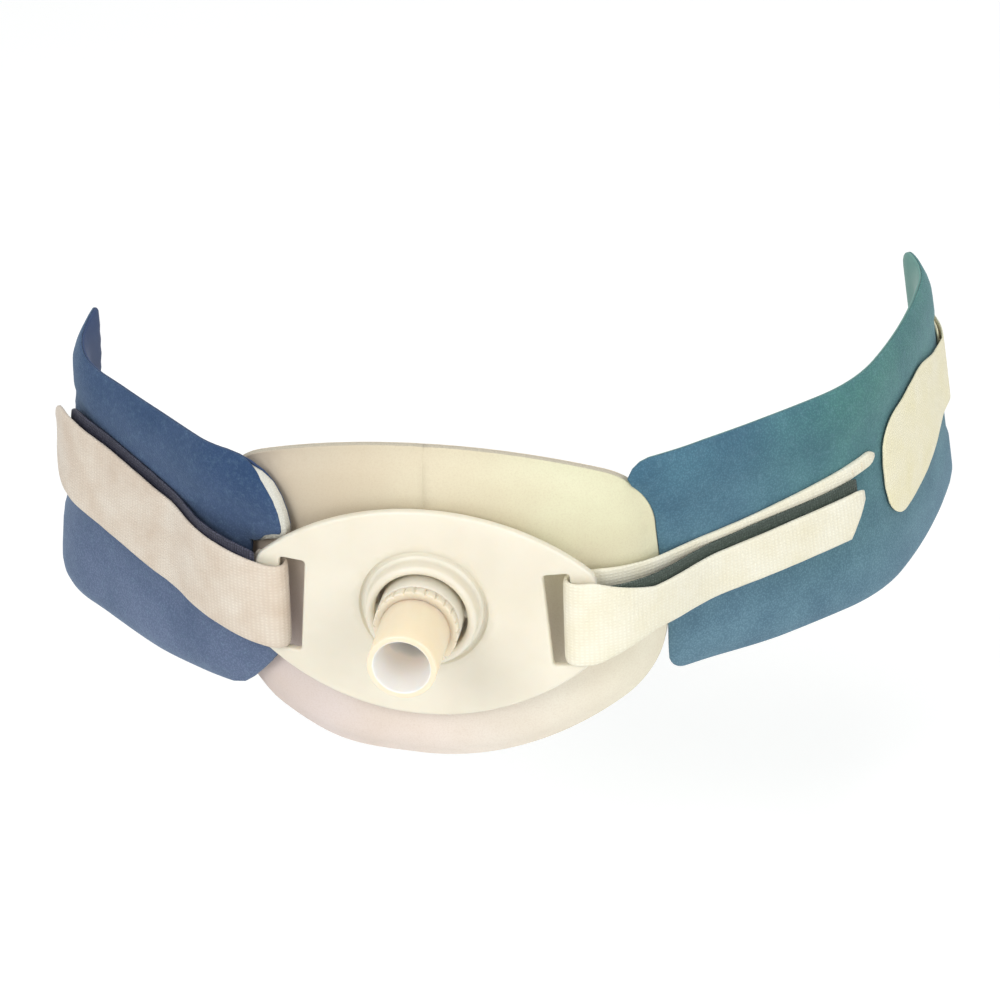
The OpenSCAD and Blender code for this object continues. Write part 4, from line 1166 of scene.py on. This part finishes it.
def make_left_tab():
    off = LAYER + HOOK_T + LAYER + TAB_T / 2
    end, base_end = FOLD_END[LEFT], BASE_END[LEFT]
    base = strand(LEFT, -1, BASE_OFF, 8.5, 12) + follow(LEFT, BASE_OFF, 10.5, base_end, 8)
    turn = loop_turn(LEFT)
    fold = strand(LEFT, 1, off, 34, 30) + follow(LEFT, off, 36, end - 10, 26)
    fold += follow(LEFT, off, end - 9, end, 18)
    edges = [span(LEFT, p, 0, 5.5 * beyond_tip(p[0], 41)) for p in base][::-1] + [span(LEFT, p) for p in turn]
    edges += [span(LEFT, p, 0.8 * corner(end - p[3], 14), corner(end - p[3] + 0.4, 9)) for p in fold]

    def loose(s, v):
        """The loose end lifts off the hooks, its upper corner most."""
        return smooth((s - 56) / 26) * (1.9 + 0.4 * v)

    def dished(s, v):
        return loose(s, v) + 0.3 * smooth((s - 30) / 10) * v * v

    def under(s, v):
        return 0.8 * loose(s, v)

    stations = flipped(base) + turn + fold
    make_ribbon("left_tab", LEFT, stations, edges, TAB_T, "left_strap", dished, 0.12, 3, 0.6)
    hook = hooks_under(LEFT, fold, 37.5, end - 8)
    # painted shade: the dark hook tape reaches about 2.1 mm above the tab's upper edge, a dark strip along it
    edges = [span(LEFT, p, 1.5, 0.4 * corner(end - 8 - p[3], 6) - 2.1) for p in hook]
    make_ribbon("left_tab_hook", LEFT, hook, edges, HOOK_T, "left_strap", under, 0.05, 4)
    z = tab_low(LEFT, band_at(LEFT, base_end)) + 1.5
    sewn = stitch_rows(LEFT, (16, 20), BASE_OFF + TAB_T / 2 + 0.1, z, z + TAB_H - 8)
    capsules("left_tab_stitch", sewn, "left_strap")


def make_right_tab():
    off = BASE_OFF + HOOK_T + TAB_T + 2 * LAYER
    end, base_end, lift, fold_h = FOLD_END[RIGHT], BASE_END[RIGHT], 4.5, 10.6
    base = strand(RIGHT, -1, BASE_OFF, 20, 20) + follow(RIGHT, BASE_OFF, 22, base_end, 46)
    turn = loop_turn(RIGHT)
    fold = strand(RIGHT, 1, off, 24, 24) + follow(RIGHT, off, 26, end, 36)

    def base_top(p):
        return tab_low(RIGHT, p) + TAB_H + 0.0024 * max(0, abs(p[0]) - 61) ** 2 - 1.3 * beyond_tip(p[0], 50)

    def slant(p):
        return 1.5 * max(0, 5 - (end - p[3]))

    def base_span(p):
        low, top = tab_low(RIGHT, p) + (lift + 1) * beyond_tip(p[0], 50), base_top(p)
        rise, cut = smooth((p[3] - end + 15) / 14), corner(base_end - p[3], 3)
        return low + (top - 3.2 - low) * rise + 0.25 * cut, top - 0.25 * cut

    edges = [base_span(p) for p in base][::-1] + [span(RIGHT, p) for p in turn]
    for p in fold:
        f = beyond_tip(p[0], 50)
        edges.append(span(RIGHT, p, lift * f + slant(p), (TAB_H - lift - fold_h) * f))
    make_ribbon("right_tab", RIGHT, flipped(base) + turn + fold, edges, TAB_T, "right_strap", None, 0.1, 6)
    # painted shade: between the base and the fold, the dark hook tape shows as a strip above the fold's upper
    # edge
    hook, edges = hooks_under(RIGHT, fold, 38.5, end - 0.5), []
    for p in hook:
        low = tab_low(RIGHT, p) + (lift + 1) * beyond_tip(p[0], 50) + 1 + slant(p)
        edges.append((low, base_top(p) - 1.6 - 1.4 * smooth((p[3] - 30) / 30)))
    make_ribbon("right_tab_hook", RIGHT, hook, edges, HOOK_T, "right_strap", None, 0.04, 7)
    sewn = []
    for s in (end - 1, end + 2):
        low, top = base_span(band_at(RIGHT, s))
        sewn += stitch_rows(RIGHT, [s], BASE_OFF + TAB_T / 2 + 0.1, low + 0.6, top - 0.6)
    capsules("right_tab_stitch", sewn, "right_strap")


def make_rear_tab():
    length, start = LENGTH[RIGHT], REAR_START
    sewn_from, end = length - REAR_ANCHOR, length + 1
    thin, thin_hook = 0.7 * REAR_T, 0.6 * REAR_HOOK_T
    hook_off = MOVE / 3 + thin_hook / 2
    off = hook_off + (thin_hook + thin) / 2 + LAYER
    anchor_off = LAYER + REAR_T / 2
    fold_off = anchor_off + REAR_T + 1.25 * THREAD_R + MOVE / 3
    roll_r = (fold_off + REAR_T / 2 - LAYER) / 2

    def half(s):
        return REAR_NECK + 4.5 * smooth((sewn_from - 4 - s) / 24) - corner(s - start, 9)

    def edges(stations, less=0.0):
        mid = [REAR_Z - 2.2 * smooth((104 - p[3]) / 26) for p in stations]
        return [(z - half(p[3]) + less, z + half(p[3]) - less) for z, p in zip(mid, stations)]

    line = follow(RIGHT, off, start, start + 12, 24) + follow(RIGHT, off, start + 13, sewn_from - 8, 28)
    line += follow(RIGHT, fold_off, sewn_from - 2, end, 16)
    make_ribbon("rear_tab", RIGHT, line, edges(line), thin, "rear_closure", None, 0.08, 8, 0.9)
    hook = follow(RIGHT, hook_off, start + 6, sewn_from - 9, 40)
    make_ribbon("rear_tab_hook", RIGHT, hook, edges(hook, 3), thin_hook, "rear_closure", None, 0.02, 9)
    base = follow(RIGHT, anchor_off, sewn_from, end - roll_r - MOVE - 0.1, 14)
    make_ribbon("rear_tab_anchor", RIGHT, base, edges(base), REAR_T, "right_strap", None, 0.03, 10)
    # the rolled end where the tab folds
    verts, course, round_off = [], [], [(0.0, 0.55), (0.25, 0.9), (0.6, 1.0)]
    axis = shift(band_at(RIGHT, end), RIGHT, roll_r + LAYER)
    levels = [(REAR_Z - REAR_NECK + a, b) for a, b in round_off]
    levels += [(REAR_Z + REAR_NECK - a, b) for a, b in reversed(round_off)]
    for z, wide in levels:
        c, r = leaned(RIGHT, axis, z), (roll_r - 0.1) * wide
        for q in (2 * pi * j / 20 for j in range(20)):
            verts.append((c[0] + r * cos(q), c[1] + r * sin(q), z))
            course.append((120 + roll_r * q, z, 0))
    roll = new_object("rear_tab_roll", verts, rod_faces(len(levels), 20), course)
    dress(roll, WEB["rear"], "webbing", "rear_closure", "rear_tab")
    z = REAR_Z - REAR_NECK + 1
    sewn = stitch_rows(RIGHT, (sewn_from + 2,), anchor_off + REAR_T / 2 + 0.05, z, z + 14)
    capsules("rear_tab_stitch", sewn, "right_strap")


# ---------------------------------------------------------------- floor and lights
def make_stage():
    m = Nodes("floor")
    ray = m.node("ShaderNodeLightPath").outputs
    seen = m.math("MAXIMUM", ray["Is Glossy Ray"], ray["Is Transmission Ray"])
    glow = m.math("MULTIPLY", m.math("MAXIMUM", ray["Is Camera Ray"], seen), 0.22)
    m.finish(
        Base_Color=hexcol("f4f3f0"), Roughness=0.9, Specular_IOR_Level=0.1,
        Emission_Color=(1.0, 1.0, 1.0), Emission_Strength=glow,
    )
    size, z = 6, -0.1  # metres; the floor is under the drawn-out inner tube at its lowest
    corners = [(-size, -size, z), (size, -size, z), (size, size, z), (-size, size, z)]
    floor = bpy.data.objects.new("floor", bpy.data.meshes.new("floor"))
    floor.data.from_pydata(corners, [], [(0, 1, 2, 3)])
    floor.data.materials.append(m.mat)
    scene.collection.objects.link(floor)
    # the camera and reflections see a white world; a softer one lights the part
    scene.world = bpy.data.worlds.new("world")
    scene.world.use_nodes = True
    w = Tree(scene.world.node_tree)
    w.tree.nodes.clear()
    ray = w.node("ShaderNodeLightPath").outputs
    soft = w.node("ShaderNodeBackground", {0: (0.93, 0.96, 1, 1), 1: 0.55}).outputs[0]
    white = w.node("ShaderNodeBackground", {0: (1, 1, 1, 1), 1: 1.0}).outputs[0]
    either = w.math("MAXIMUM", ray["Is Camera Ray"], ray["Is Glossy Ray"])
    mixed = w.node("ShaderNodeMixShader", {0: either, 1: soft, 2: white})
    w.node("ShaderNodeOutputWorld", {0: mixed.outputs[0]})
    for name, where, power, width in (
        ("key", (-0.5, -0.95, 0.7), 6.6, 0.6),
        ("fill", (0.85, -0.8, 0.45), 5.2, 0.7),
        ("top", (0.1, 0.35, 1.1), 3.6, 0.8),
    ):
        lamp = bpy.data.objects.new(name, bpy.data.lights.new(name, "AREA"))
        lamp.data.energy, lamp.data.size = power, width
        lamp.location = where
        lamp.rotation_mode = "QUATERNION"
        lamp.rotation_quaternion = (Vector(where) - Vector((0, 0.02, 0))).to_track_quat("Z", "Y")
        scene.collection.objects.link(lamp)
    scene.view_settings.view_transform = "Standard"


make_flange()
make_tube_parts()
make_dressing()
make_band(LEFT)
make_band(RIGHT)
make_left_tab()
make_right_tab()
make_rear_tab()
make_stage()
